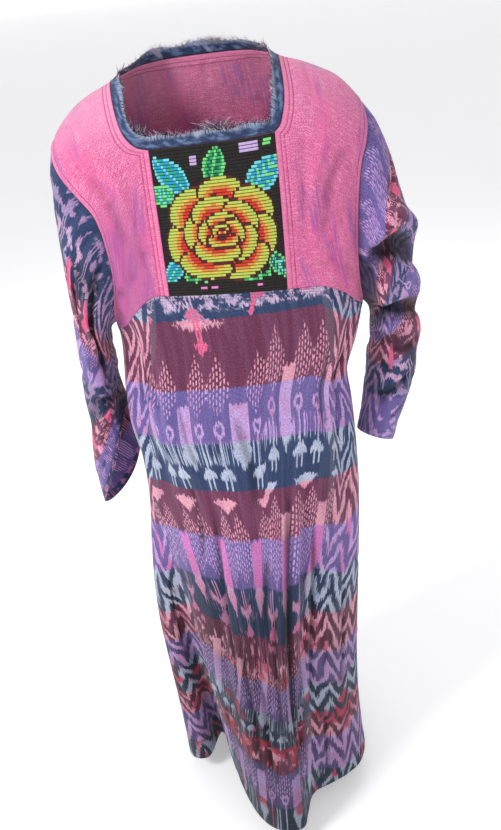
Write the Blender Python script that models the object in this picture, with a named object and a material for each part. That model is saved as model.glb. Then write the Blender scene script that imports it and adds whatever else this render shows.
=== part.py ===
"""A long worn dress: pink handwoven yoke, brocade bib, ikat skirt and sleeves, raw-edged neck band.

Metres, +Z up, front facing -Y. The origin is midway between the shoulders at shoulder height.
Right and left are the wearer's: the right side is at -X. Nothing moves.
"""
import math

import bpy

# Wall thickness of each cloth, and the gaps at the seams
WALL_YOKE = 0.0018
WALL_BIB = 0.0024
WALL_IKAT = 0.0016
WALL_BAND = 0.0014
SEAM_GAP = 0.0003
HEM_TURN = 0.0007

# Lengths down the body
HEM_Z = -1.376
PIT_RIGHT_Z = -0.355
PIT_LEFT_Z = -0.363
FLARE_TOP_Z = -0.44
FLARE_CURVE = 1.7
SHOULDER_ROUND = 0.075
SHOULDER_TIP_RIGHT = -0.2330
SHOULDER_TIP_LEFT = 0.2480
NECK_SIDE = 0.127

# How finely each edge is divided
COLUMNS_RIGHT = 14
COLUMNS_MIDDLE = 10
COLUMNS_LEFT = 12
ROWS_BIB = 7
ROWS_NECK = 5
ROWS_SKIRT = 15
HEM_ROW = 0.014
CURVE_STEPS = 12
EDGE_STEPS = 240
SEAM_PASSES = 12

# How far apart the points are that give a slope, and how near the top a point counts as on it
HEIGHT_STEP = 0.0006
PLACE_STEP = 0.004
RUN_STEP = 0.01
TOP_NEAR = 0.0012
SIDE_NEAR = 0.9999

# Rings round the body: height, centre across, half width, depth in front, depth behind, squareness
RINGS = [
    (-1.376, -0.014, 0.189, 0.190, 0.135, 2.2),
    (-1.270, -0.014, 0.189, 0.175, 0.135, 2.2),
    (-1.150, -0.010, 0.199, 0.165, 0.135, 2.2),
    (-1.000, -0.002, 0.210, 0.155, 0.132, 2.2),
    (-0.850, 0.011, 0.208, 0.148, 0.130, 2.2),
    (-0.720, 0.022, 0.201, 0.143, 0.126, 2.2),
    (-0.610, 0.022, 0.197, 0.138, 0.118, 2.3),
    (-0.540, 0.015, 0.199, 0.134, 0.112, 2.4),
    (-0.480, 0.013, 0.196, 0.131, 0.106, 2.4),
    (-0.420, 0.024, 0.203, 0.129, 0.102, 2.4),
    (-0.360, 0.030, 0.210, 0.127, 0.100, 2.4),
    (-0.280, 0.024, 0.224, 0.126, 0.100, 2.3),
    (-0.200, 0.016, 0.238, 0.121, 0.100, 2.3),
    (-0.120, 0.012, 0.252, 0.112, 0.098, 2.3),
    (-0.050, 0.010, 0.266, 0.098, 0.092, 2.3),
    (0.040, 0.010, 0.270, 0.082, 0.084, 2.3),
    (0.120, 0.010, 0.270, 0.080, 0.080, 2.3),
]

# Top line of the shoulders, rising into the neck: across, height
SHOULDER_LINE = [
    (-0.300, -0.200), (-0.262, -0.112), (-0.237, -0.064), (-0.216, -0.034), (-0.190, -0.009),
    (-0.162, 0.008), (-0.127, 0.024), (-0.100, 0.050), (-0.050, 0.090), (0.000, 0.102),
    (0.050, 0.098), (0.100, 0.062), (0.127, 0.036), (0.160, 0.024), (0.190, 0.011),
    (0.215, -0.003), (0.239, -0.027), (0.254, -0.048), (0.275, -0.090), (0.305, -0.160),
]

# Lower yoke seam in front and behind: across, height
SEAM_FRONT = [
    (-0.165, -0.348), (-0.150, -0.331), (-0.132, -0.310), (-0.105, -0.286), (-0.077, -0.284),
    (0.017, -0.287), (0.107, -0.292), (0.150, -0.295), (0.170, -0.300), (0.202, -0.321),
    (0.226, -0.347),
]
SEAM_BACK = [
    (-0.150, -0.322), (-0.105, -0.302), (-0.040, -0.296), (0.030, -0.294),
    (0.100, -0.298), (0.160, -0.308), (0.206, -0.328),
]

# Armhole edges from the shoulder down to the underarm: across, height
ARMHOLE_RIGHT_FRONT = [
    (-0.2330, None), (-0.230, -0.080), (-0.218, -0.103), (-0.197, -0.130), (-0.179, -0.153),
    (-0.170, -0.180), (-0.166, -0.212), (-0.164, -0.246), (-0.168, -0.284), (-0.176, -0.320),
]
ARMHOLE_RIGHT_BACK = [
    (-0.2330, None), (-0.2315, -0.095), (-0.224, -0.140), (-0.211, -0.190), (-0.202, -0.240),
    (-0.193, -0.290),
]
ARMHOLE_LEFT_FRONT = [
    (0.2480, None), (0.254, -0.066), (0.250, -0.092), (0.240, -0.122), (0.234, -0.158),
    (0.231, -0.195), (0.229, -0.235), (0.228, -0.275), (0.231, -0.318),
]
ARMHOLE_LEFT_BACK = [
    (0.2480, None), (0.252, -0.090), (0.245, -0.140), (0.238, -0.195), (0.233, -0.250),
    (0.233, -0.305),
]

# Neck edge: the part on each front yoke, the top of the bib and the part behind: across, height
NECK_RIGHT = [
    (-0.078, -0.0650), (-0.096, -0.0600), (-0.109, -0.047), (-0.116, -0.031), (-0.121, -0.010),
    (-0.127, None),
]
NECK_BIB = [(-0.078, -0.0650), (-0.040, -0.0645), (0.020, -0.0635), (0.070, -0.062), (0.108, -0.0590)]
NECK_LEFT = [
    (0.108, -0.0590), (0.117, -0.050), (0.122, -0.036), (0.126, -0.019), (0.128, 0.004),
    (0.127, None),
]
NECK_BACK = [
    (-0.127, None), (-0.113, 0.028), (-0.085, 0.036), (-0.040, 0.040), (0.000, 0.041),
    (0.045, 0.042), (0.090, 0.042), (0.115, 0.038), (0.127, None),
]

# Bib sides, bottom to top: across, height
BIB_RIGHT = [(-0.077, -0.284), (-0.077, -0.175), (-0.078, -0.065)]
BIB_LEFT = [(0.107, -0.292), (0.108, -0.175), (0.108, -0.059)]

# The hem seen from above, from the wearer's right side seam to the left one: across, depth
HEM_FRONT = [
    (-0.181, 0.002), (-0.188, -0.030), (-0.181, -0.056), (-0.166, -0.067), (-0.149, -0.068),
    (-0.136, -0.052), (-0.126, -0.022), (-0.115, 0.000), (-0.104, -0.016), (-0.097, -0.056),
    (-0.089, -0.092), (-0.077, -0.137), (-0.060, -0.187), (-0.042, -0.225), (-0.020, -0.252),
    (0.002, -0.265), (0.030, -0.270), (0.050, -0.260), (0.060, -0.230), (0.067, -0.200),
    (0.080, -0.182), (0.100, -0.173), (0.126, -0.162), (0.154, -0.147), (0.178, -0.128),
    (0.194, -0.100), (0.202, -0.062), (0.196, -0.018),
]
HEM_BACK = [
    (-0.181, 0.002), (-0.189, 0.040), (-0.197, 0.078), (-0.182, 0.100), (-0.158, 0.092),
    (-0.138, 0.084), (-0.124, 0.106), (-0.124, 0.146), (-0.106, 0.178), (-0.080, 0.176),
    (-0.062, 0.146), (-0.042, 0.122), (-0.018, 0.128), (-0.004, 0.160), (0.018, 0.192),
    (0.048, 0.192), (0.068, 0.162), (0.082, 0.124), (0.104, 0.112), (0.128, 0.130),
    (0.152, 0.152), (0.178, 0.134), (0.186, 0.100), (0.186, 0.060), (0.198, 0.022),
    (0.196, -0.018),
]
# Where a thread at the yoke seam comes down on the hem: place at the seam, share of the hem's length
HEM_MATCH_FRONT = [(-1.0, 0.0), (-0.40, 0.31), (0.0, 0.515), (0.42, 0.71), (1.0, 1.0)]
HEM_MATCH_BACK = [(-1.0, 0.0), (-0.5, 0.25), (0.0, 0.50), (0.5, 0.75), (1.0, 1.0)]

# Shares of a fold's length where it has risen, starts to sink and has gone, and the place beyond
# which every fold dies down towards the side seam
FOLD_RISEN = 0.28
FOLD_SINKS = 0.72
FOLD_GONE = 1.12
FOLD_CALM = 0.90

# Folds in the body: face, place at the top, top height, place at the foot, foot height, half width
# and rise (a fall when below zero). Places run from -1 at the right side seam to 1 at the left
FOLDS = [
    ("front", -0.42, -0.235, -0.36, -0.640, 0.070, 0.0090),
    ("front", -0.66, -0.290, -0.60, -0.660, 0.080, -0.0110),
    ("front", -0.86, -0.370, -0.78, -0.720, 0.080, 0.0050),
    ("front", 0.45, -0.235, 0.40, -0.660, 0.075, 0.0090),
    ("front", 0.66, -0.300, 0.62, -0.720, 0.085, -0.0100),
    ("front", 0.27, -0.560, 0.30, -1.360, 0.060, -0.0130),
    ("front", 0.15, -0.560, 0.16, -1.300, 0.060, 0.0070),
    ("front", 0.03, -0.640, 0.04, -1.260, 0.055, -0.0080),
    ("front", -0.09, -0.620, -0.07, -1.260, 0.055, 0.0065),
    ("front", -0.20, -0.560, -0.19, -1.200, 0.055, -0.0070),
    ("front", -0.52, -0.760, -0.50, -1.300, 0.070, -0.0070),
    ("front", -0.70, -0.860, -0.72, -1.340, 0.070, 0.0060),
    ("front", 0.52, -0.760, 0.50, -1.300, 0.070, 0.0070),
    ("front", 0.74, -0.860, 0.76, -1.340, 0.080, -0.0070),
    ("back", -0.55, -0.330, -0.52, -1.250, 0.090, -0.0080),
    ("back", -0.25, -0.400, -0.22, -1.300, 0.090, 0.0070),
    ("back", 0.02, -0.330, 0.00, -1.250, 0.090, -0.0085),
    ("back", 0.30, -0.420, 0.27, -1.300, 0.090, 0.0075),
    ("back", 0.60, -0.330, 0.56, -1.250, 0.090, -0.0080),
]

# Sleeve sections: outer edge across and height, inner edge across and height, centre depth, half
# depth, then how far the rear half slants and both faces bow, across and in height
SLEEVE_RIGHT = [
    (-0.2330, -0.060, -0.1800, -0.355, 0.000, 0.060, 0.000, 0.000, 0.000, 0.000),
    (-0.2420, -0.094, -0.1890, -0.362, -0.002, 0.076, 0.000, 0.000, 0.000, 0.000),
    (-0.2450, -0.133, -0.1945, -0.372, -0.003, 0.084, 0.000, 0.000, 0.000, 0.000),
    (-0.2470, -0.176, -0.1965, -0.384, -0.002, 0.087, 0.000, 0.000, 0.000, 0.000),
    (-0.2485, -0.221, -0.1975, -0.397, 0.000, 0.086, 0.000, 0.000, 0.000, 0.000),
    (-0.2500, -0.268, -0.1980, -0.410, 0.002, 0.084, 0.000, 0.000, 0.000, 0.000),
    (-0.2520, -0.315, -0.1985, -0.423, 0.004, 0.082, 0.000, 0.000, 0.000, 0.000),
    (-0.2545, -0.363, -0.1990, -0.436, 0.006, 0.080, 0.001, -0.002, 0.001, -0.001),
    (-0.2575, -0.411, -0.1995, -0.449, 0.008, 0.078, 0.002, -0.004, 0.003, -0.002),
    (-0.2605, -0.459, -0.2000, -0.462, 0.010, 0.076, 0.003, -0.007, 0.005, -0.003),
    (-0.2635, -0.507, -0.2005, -0.475, 0.012, 0.074, 0.005, -0.011, 0.008, -0.005),
    (-0.2660, -0.554, -0.2005, -0.487, 0.013, 0.072, 0.006, -0.015, 0.011, -0.006),
    (-0.2680, -0.599, -0.2000, -0.498, 0.014, 0.070, 0.008, -0.020, 0.013, -0.007),
    (-0.2690, -0.641, -0.1990, -0.508, 0.015, 0.069, 0.009, -0.024, 0.015, -0.008),
    (-0.2690, -0.678, -0.1970, -0.517, 0.016, 0.068, 0.010, -0.028, 0.016, -0.009),
    (-0.2680, -0.709, -0.1945, -0.524, 0.017, 0.067, 0.011, -0.031, 0.017, -0.010),
    (-0.2660, -0.734, -0.1920, -0.530, 0.018, 0.066, 0.011, -0.033, 0.018, -0.010),
]
SLEEVE_LEFT = [
    (0.2480, -0.040, 0.2400, -0.363, 0.000, 0.060, 0.000, 0.000, 0.000, 0.000),
    (0.2700, -0.070, 0.2470, -0.371, -0.002, 0.076, 0.000, 0.000, 0.000, 0.000),
    (0.2860, -0.106, 0.2520, -0.381, -0.003, 0.084, 0.000, 0.000, 0.000, 0.000),
    (0.2990, -0.147, 0.2550, -0.392, -0.002, 0.087, 0.000, 0.000, 0.000, 0.000),
    (0.3110, -0.190, 0.2560, -0.404, 0.000, 0.087, 0.000, 0.000, 0.000, 0.000),
    (0.3220, -0.232, 0.2560, -0.416, 0.002, 0.086, 0.000, 0.000, 0.000, 0.000),
    (0.3310, -0.274, 0.2555, -0.428, 0.004, 0.084, 0.000, 0.000, 0.000, 0.000),
    (0.3370, -0.314, 0.2550, -0.440, 0.006, 0.082, 0.000, 0.000, 0.000, 0.000),
    (0.3410, -0.352, 0.2540, -0.452, 0.008, 0.080, 0.000, -0.002, 0.000, 0.000),
    (0.3435, -0.390, 0.2525, -0.465, 0.010, 0.078, 0.000, -0.004, 0.000, 0.000),
    (0.3445, -0.428, 0.2510, -0.478, 0.012, 0.076, 0.000, -0.006, 0.000, 0.000),
    (0.3415, -0.466, 0.2490, -0.494, 0.013, 0.074, 0.000, -0.009, 0.000, 0.000),
    (0.3355, -0.504, 0.2465, -0.513, 0.013, 0.072, 0.000, -0.012, 0.000, 0.000),
    (0.3255, -0.542, 0.2430, -0.536, 0.013, 0.070, 0.000, -0.015, 0.000, 0.000),
    (0.3135, -0.578, 0.2390, -0.564, 0.012, 0.068, 0.000, -0.018, 0.000, 0.000),
    (0.3010, -0.614, 0.2335, -0.595, 0.011, 0.066, 0.000, -0.020, 0.000, 0.000),
    (0.2905, -0.650, 0.2270, -0.628, 0.010, 0.064, 0.000, -0.022, 0.000, 0.000),
]

SLEEVE_SQUARE = 2.1

# Rows over which a sleeve lets go of the armhole's outline, how it does so, and where its folds start
SLEEVE_HOLD = 4.0
SLEEVE_HOLD_CURVE = 1.5
SLEEVE_CALM = 1.4
# Degrees that a sleeve's fold runs on beyond its path, and over which it dies down
FOLD_BEYOND = 25.0
FOLD_EASE = 40.0

# Folds across the sleeves: places round the sleeve in degrees (0 outer edge, 90 front, 180 inner
# edge) with the row there, then half width in rows and rise (a fall when below zero)
FOLDS_SLEEVE_RIGHT = [
    ([(104, 0.6), (96, 2.6), (108, 5.0), (140, 7.6)], 1.3, -0.0120),
    ([(60, 0.8), (58, 3.0), (72, 6.0), (100, 9.0)], 1.5, 0.0060),
    ([(0, 11.6), (60, 10.4), (110, 10.4), (175, 12.2)], 0.9, -0.0060),
    ([(40, 13.0), (90, 12.4), (130, 12.2), (178, 13.6)], 0.8, 0.0050),
    ([(180, 6.5), (220, 5.6), (270, 5.2), (320, 6.0)], 1.2, -0.0060),
    ([(180, 10.5), (225, 9.8), (275, 9.6), (330, 10.6)], 1.2, -0.0060),
]
FOLDS_SLEEVE_LEFT = [
    ([(112, 0.4), (90, 1.3), (45, 4.0), (0, 6.0), (-40, 7.0)], 0.9, 0.0100),
    ([(120, 0.9), (94, 2.3), (48, 5.1), (0, 7.1), (-40, 8.1)], 0.9, -0.0150),
    ([(140, 1.6), (95, 4.2), (48, 6.5), (0, 8.2), (-40, 9.2)], 0.8, 0.0080),
    ([(150, 3.2), (100, 5.8), (52, 7.6), (0, 9.2), (-30, 10.2)], 0.9, -0.0150),
    ([(158, 6.2), (110, 8.2), (60, 10.4), (10, 11.2)], 0.8, -0.0060),
    ([(60, 11.6), (90, 12.4), (130, 13.6)], 0.8, -0.0050),
    ([(200, 8.2), (240, 9.0), (290, 9.6), (340, 9.6)], 1.2, -0.0070),
    ([(200, 5.0), (250, 5.2), (300, 6.6)], 1.3, -0.0060),
]

# Colours and finish of the cloths
PINK = (0.72, 0.13, 0.33)
PINK_DEEP = (0.66, 0.11, 0.30)
BROCADE = (0.30, 0.16, 0.03)
IKAT_FRONT = (0.14, 0.06, 0.16)
IKAT_BACK = (0.10, 0.06, 0.15)
IKAT_SLEEVE = (0.07, 0.06, 0.17)
INDIGO = (0.05, 0.09, 0.19)
THREAD = (0.42, 0.38, 0.48)
CLOTH_ROUGHNESS = 0.85

# Neck band: height, how it waves in and out and up and down, and the points that it leans to
BAND_HEIGHT = 0.0185
BAND_WAVE = 0.0022
BAND_WAVE_TURN = 2.3
BAND_WAVE_SLOW = 0.6
BAND_WAVE_SLOW_TURN = 0.9
BAND_TALLER = 0.12
BAND_TALLER_TURN = 1.7
BAND_LEAN = 0.6
NECK_INSIDE = (0.0, 0.0, 0.12)
NECK_ABOVE_Z = 0.13
NECK_ABOVE_FLAT = 0.15

# Frayed threads on the band's raw edge: the strip that they stand on, then the threads
FRINGE_STRIP = 0.0026
FRINGE_THICK = 0.0011
FRINGE_BASE = 0.0012
FRINGE_PER_SEGMENT = 3
FRINGE_LONG = 0.011
FRINGE_SHORTEST = 0.45
FRINGE_SIDE_LEAN = 0.25
FRINGE_OUT_LEAN = 0.40


def blend(rows, at, column=1):
    """Smooth value from a table at a place in its first column, held level beyond both ends."""
    if at <= rows[0][0]:
        return rows[0][column]
    if at >= rows[-1][0]:
        return rows[-1][column]
    index = 0
    while rows[index + 1][0] < at:
        index += 1
    here, there = rows[index], rows[index + 1]
    span = there[0] - here[0]
    part = (at - here[0]) / span
    before = rows[index - 1] if index > 0 else here
    after = rows[index + 2] if index + 2 < len(rows) else there
    slope = (there[column] - before[column]) / (there[0] - before[0]) * span
    slope_next = (after[column] - here[column]) / (after[0] - here[0]) * span
    p2 = part * part
    p3 = p2 * part
    return ((2 * p3 - 3 * p2 + 1) * here[column] + (p3 - 2 * p2 + part) * slope
            + (3 * p2 - 2 * p3) * there[column] + (p3 - p2) * slope_next)


def soft(value, low, high):
    """Zero below low, one above high, eased between."""
    part = min(1.0, max(0.0, (value - low) / (high - low)))
    return part * part * (3.0 - 2.0 * part)


def add(a, b, scale=1.0):
    """A vector plus another, scaled."""
    return (a[0] + b[0] * scale, a[1] + b[1] * scale, a[2] + b[2] * scale)


def less(a, b):
    """A vector less another."""
    return (a[0] - b[0], a[1] - b[1], a[2] - b[2])


def cross(a, b):
    """The vector square to two others."""
    return (a[1] * b[2] - a[2] * b[1], a[2] * b[0] - a[0] * b[2], a[0] * b[1] - a[1] * b[0])


def dot(a, b):
    """The product of two vectors along each other."""
    return a[0] * b[0] + a[1] * b[1] + a[2] * b[2]


def unit(a):
    """The same direction with a length of one."""
    size = math.sqrt(dot(a, a)) or 1.0
    return (a[0] / size, a[1] / size, a[2] / size)


def spline(points, count):
    """A smooth curve through the points, cut into equal lengths."""
    dense = []
    for index in range(len(points) - 1):
        p0 = points[max(0, index - 1)]
        p1 = points[index]
        p2 = points[index + 1]
        p3 = points[min(len(points) - 1, index + 2)]
        for step in range(CURVE_STEPS):
            t = step / CURVE_STEPS
            dense.append(tuple(
                0.5 * (2 * p1[k] + (p2[k] - p0[k]) * t
                       + (2 * p0[k] - 5 * p1[k] + 4 * p2[k] - p3[k]) * t * t
                       + (3 * p1[k] - p0[k] - 3 * p2[k] + p3[k]) * t * t * t)
                for k in range(len(p1))))
    dense.append(tuple(points[-1]))
    lengths = [0.0]
    for a, b in zip(dense, dense[1:]):
        lengths.append(lengths[-1] + math.dist(a, b))
    result = []
    index = 0
    for step in range(count + 1):
        goal = lengths[-1] * step / count
        while index < len(dense) - 2 and lengths[index + 1] < goal:
            index += 1
        span = lengths[index + 1] - lengths[index]
        part = (goal - lengths[index]) / span if span else 0.0
        result.append(tuple(dense[index][k] + (dense[index + 1][k] - dense[index][k]) * part
                            for k in range(len(dense[0]))))
    return result


HEM_STEPS = 400
HEM_CURVES = {"front": spline(HEM_FRONT, HEM_STEPS), "back": spline(HEM_BACK, HEM_STEPS)}
HEM_MATCH = {"front": HEM_MATCH_FRONT, "back": HEM_MATCH_BACK}


def hem_point(face, place):
    """Point of the hem seen from above under a place of the yoke seam."""
    share = min(1.0, max(0.0, blend(HEM_MATCH[face], place))) * HEM_STEPS
    index = min(HEM_STEPS - 1, int(share))
    part = share - index
    here = HEM_CURVES[face][index]
    there = HEM_CURVES[face][index + 1]
    return (here[0] + (there[0] - here[0]) * part, here[1] + (there[1] - here[1]) * part)


def plain(face, place, z):
    """The body without its folds: x and y at a place from -1 to 1 and a height."""
    centre = blend(RINGS, z, 1)
    half = blend(RINGS, z, 2)
    depth = blend(RINGS, z, 3 if face == "front" else 4)
    power = 2.0 / blend(RINGS, z, 5)
    angle = place * math.pi / 2.0
    across = math.copysign(abs(math.sin(angle)) ** power, place)
    x = centre + half * across
    y = depth * abs(math.cos(angle)) ** power
    over = (blend(SHOULDER_LINE, x) - z) / SHOULDER_ROUND
    if over < 1.0:
        over = max(0.0, over)
        y *= math.sqrt(max(0.0, 1.0 - (1.0 - over) ** 2))
    if face == "front":
        y = -y
    drop = min(1.0, max(0.0, (FLARE_TOP_Z - z) / (FLARE_TOP_Z - HEM_Z)))
    if drop > 0.0:
        weight = drop ** FLARE_CURVE
        hem_x, hem_y = hem_point(face, place)
        x += (hem_x - x) * weight
        y += (hem_y - y) * weight
    return x, y


def body(face, place, z):
    """Outer point of the body with its folds."""
    x, y = plain(face, place, z)
    rise = 0.0
    for where, top, top_z, foot, foot_z, half, height in FOLDS:
        if where != face:
            continue
        part = (top_z - z) / (top_z - foot_z)
        if part <= 0.0 or part >= FOLD_GONE:
            continue
        middle = top + (foot - top) * part
        off = (place - middle) / half
        if abs(off) < 3.0:
            fade = soft(part, 0.0, FOLD_RISEN) * (1.0 - soft(part, FOLD_SINKS, FOLD_GONE))
            rise += height * fade * math.exp(-off * off)
    if rise:
        calm = 1.0 - soft(abs(place), FOLD_CALM, 1.0)
        ahead = plain(face, min(1.0, place + RUN_STEP), z)
        behind = plain(face, max(-1.0, place - RUN_STEP), z)
        run = (ahead[0] - behind[0], ahead[1] - behind[1])
        size = math.hypot(run[0], run[1]) or 1.0
        out = (run[1] / size, -run[0] / size)
        if face == "back":
            out = (-out[0], -out[1])
        x += out[0] * rise * calm
        y += out[1] * rise * calm
    return (x, y, z)


def body_normal_one(face, place, z):
    """Outward direction of one face of the body."""
    right = body(face, min(1.0, place + PLACE_STEP), z)
    left = body(face, max(-1.0, place - PLACE_STEP), z)
    up = body(face, place, z + HEIGHT_STEP)
    down = body(face, place, z - HEIGHT_STEP)
    normal = unit(cross(less(right, left), less(up, down)))
    return normal if face == "front" else (-normal[0], -normal[1], -normal[2])


def body_normal(face, place, z):
    """Outward direction of the body; both faces agree on the side seams and the shoulder line."""
    x = plain(face, place, z)[0]
    on_top = blend(SHOULDER_LINE, x) - z < TOP_NEAR
    if abs(place) > SIDE_NEAR or on_top:
        low = z - (TOP_NEAR if on_top else 0.0)
        one = body_normal_one("front", place, low)
        two = body_normal_one("back", place, low)
        return unit(add(one, two))
    return body_normal_one(face, place, z)


def place_of(x, z):
    """Place from -1 to 1 for a distance across at a height."""
    across = (x - blend(RINGS, z, 1)) / blend(RINGS, z, 2)
    if abs(across) >= 1.0:
        return math.copysign(1.0, across)
    angle = math.asin(abs(across) ** (blend(RINGS, z, 5) / 2.0))
    return math.copysign(angle * 2.0 / math.pi, across)


def underarm(side):
    """The underarm point at the foot of an armhole, on the side seam: across, height."""
    z = PIT_RIGHT_Z if side < 0 else PIT_LEFT_Z
    return (blend(RINGS, z, 1) + side * blend(RINGS, z, 2), z)


def edge(points, count, ease=1.0):
    """An edge as distances across and heights, cut evenly or crowded to its end by ease."""
    known = [(x, blend(SHOULDER_LINE, x) if z is None else z) for x, z in points]
    dense = spline(known, EDGE_STEPS)
    result = []
    for step in range(count + 1):
        share = step / count
        if ease != 1.0:
            share = 1.0 - (1.0 - share) ** ease
        result.append(dense[int(round(share * EDGE_STEPS))])
    return result


def shoulder_edge(start, stop, count):
    """The shoulder line between two distances across."""
    result = []
    for step in range(count + 1):
        x = start + (stop - start) * step / count
        result.append((x, blend(SHOULDER_LINE, x)))
    return result


def seam_edge(points, start, stop, count):
    """The lower yoke seam between two points, cut evenly round the body."""
    first = place_of(start[0], start[1])
    last = place_of(stop[0], stop[1])
    result = []
    for step in range(count + 1):
        place = first + (last - first) * step / count
        z = blend(points, start[0] + (stop[0] - start[0]) * step / count)
        for _ in range(SEAM_PASSES):
            x = plain("front", place, z)[0]
            z = blend(points, x)
        result.append((x, z))
    result[0] = start
    result[-1] = stop
    return result


def spread(bottom, top, left, right):
    """Points inside four edges; bottom and top run across, left and right run up."""
    columns = len(bottom) - 1
    rows = len(left) - 1
    net = []
    for row in range(rows + 1):
        v = row / rows
        line = []
        for column in range(columns + 1):
            u = column / columns
            line.append(tuple(
                (1 - v) * bottom[column][k] + v * top[column][k]
                + (1 - u) * left[row][k] + u * right[row][k]
                - ((1 - u) * (1 - v) * bottom[0][k] + u * (1 - v) * bottom[-1][k]
                   + (1 - u) * v * top[0][k] + u * v * top[-1][k])
                for k in range(2)))
        net.append(line)
    return net


def lay(face, net):
    """Outer points and outward directions of a net of places and heights."""
    points = [[body(face, place, z) for place, z in line] for line in net]
    normals = [[body_normal(face, place, z) for place, z in line] for line in net]
    return points, normals


def placed(line):
    """Distances across turned into places from side seam to side seam."""
    return [(place_of(x, z), z) for x, z in line]


def draw_in(points, amount):
    """Pull the edges of a panel in by half a seam gap."""
    rows = len(points)
    columns = len(points[0])
    result = [list(line) for line in points]
    for row in range(rows):
        for column in range(columns):
            move = (0.0, 0.0, 0.0)
            if row == 0:
                move = add(move, unit(less(points[1][column], points[0][column])), amount)
            if row == rows - 1:
                move = add(move, unit(less(points[-2][column], points[-1][column])), amount)
            if column == 0:
                move = add(move, unit(less(points[row][1], points[row][0])), amount)
            if column == columns - 1:
                move = add(move, unit(less(points[row][-2], points[row][-1])), amount)
            result[row][column] = add(points[row][column], move)
    return result


def cloth_material(name, colour):
    """A plain matt cloth."""
    material = bpy.data.materials.new(name)
    material.use_nodes = True
    shader = material.node_tree.nodes["Principled BSDF"]
    shader.inputs["Base Color"].default_value = (colour[0], colour[1], colour[2], 1.0)
    shader.inputs["Roughness"].default_value = CLOTH_ROUGHNESS
    material.diffuse_color = (colour[0], colour[1], colour[2], 1.0)
    return material


def finish(name, vertices, faces, colour):
    """One closed body from its corners and faces."""
    mesh = bpy.data.meshes.new(name)
    mesh.from_pydata(vertices, [], faces)
    mesh.update()
    mesh.materials.append(cloth_material(name + "_cloth", colour))
    item = bpy.data.objects.new(name, mesh)
    COLLECTION.objects.link(item)
    return item


def shell(name, outer, normals, wall, colour, closed=False, turned=0):
    """A wall of cloth: outer points, the same points moved inward, and a rim all round."""
    rows = len(outer)
    columns = len(outer[0])
    vertices = []
    for row in range(rows):
        extra = HEM_TURN if row < turned else 0.0
        for column in range(columns):
            vertices.append(add(outer[row][column], normals[row][column], extra))
    for row in range(rows):
        for column in range(columns):
            vertices.append(add(outer[row][column], normals[row][column], -wall))
    size = rows * columns

    def at(row, column, layer):
        return layer * size + row * columns + column % columns

    faces = []
    spans = columns if closed else columns - 1
    for row in range(rows - 1):
        for column in range(spans):
            faces.append((at(row, column, 0), at(row, column + 1, 0),
                          at(row + 1, column + 1, 0), at(row + 1, column, 0)))
            faces.append((at(row, column, 1), at(row + 1, column, 1),
                          at(row + 1, column + 1, 1), at(row, column + 1, 1)))
    for column in range(spans):
        faces.append((at(0, column, 1), at(0, column + 1, 1), at(0, column + 1, 0), at(0, column, 0)))
        faces.append((at(rows - 1, column, 0), at(rows - 1, column + 1, 0),
                      at(rows - 1, column + 1, 1), at(rows - 1, column, 1)))
    if not closed:
        for row in range(rows - 1):
            faces.append((at(row, 0, 0), at(row + 1, 0, 0), at(row + 1, 0, 1), at(row, 0, 1)))
            faces.append((at(row, columns - 1, 1), at(row + 1, columns - 1, 1),
                          at(row + 1, columns - 1, 0), at(row, columns - 1, 0)))
    middle_row = rows // 2
    middle_column = columns // 2
    a = vertices[at(middle_row, middle_column, 0)]
    b = vertices[at(middle_row, middle_column + 1, 0)]
    c = vertices[at(middle_row - 1, middle_column, 0)]
    facing = dot(cross(less(b, a), less(a, c)), normals[middle_row][middle_column])
    if facing < 0.0:
        faces = [tuple(reversed(face)) for face in faces]
    return finish(name, vertices, faces, colour)


def fold_rise(folds, angle, row):
    """Rise of the sleeve folds at an angle round the sleeve and a row down it."""
    rise = 0.0
    for path, half, height in folds:
        ordered = sorted(path)
        low, high = ordered[0][0], ordered[-1][0]
        for turn in (angle, angle - 360.0):
            if low - FOLD_BEYOND < turn < high + FOLD_BEYOND:
                middle = blend(ordered, turn)
                inside = min(turn - low, high - turn) + FOLD_BEYOND
                end = min(1.0, inside / FOLD_EASE)
                off = (row - middle) / half
                if abs(off) < 3.0:
                    rise += height * max(0.0, end) * math.exp(-off * off)
    return rise


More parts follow.
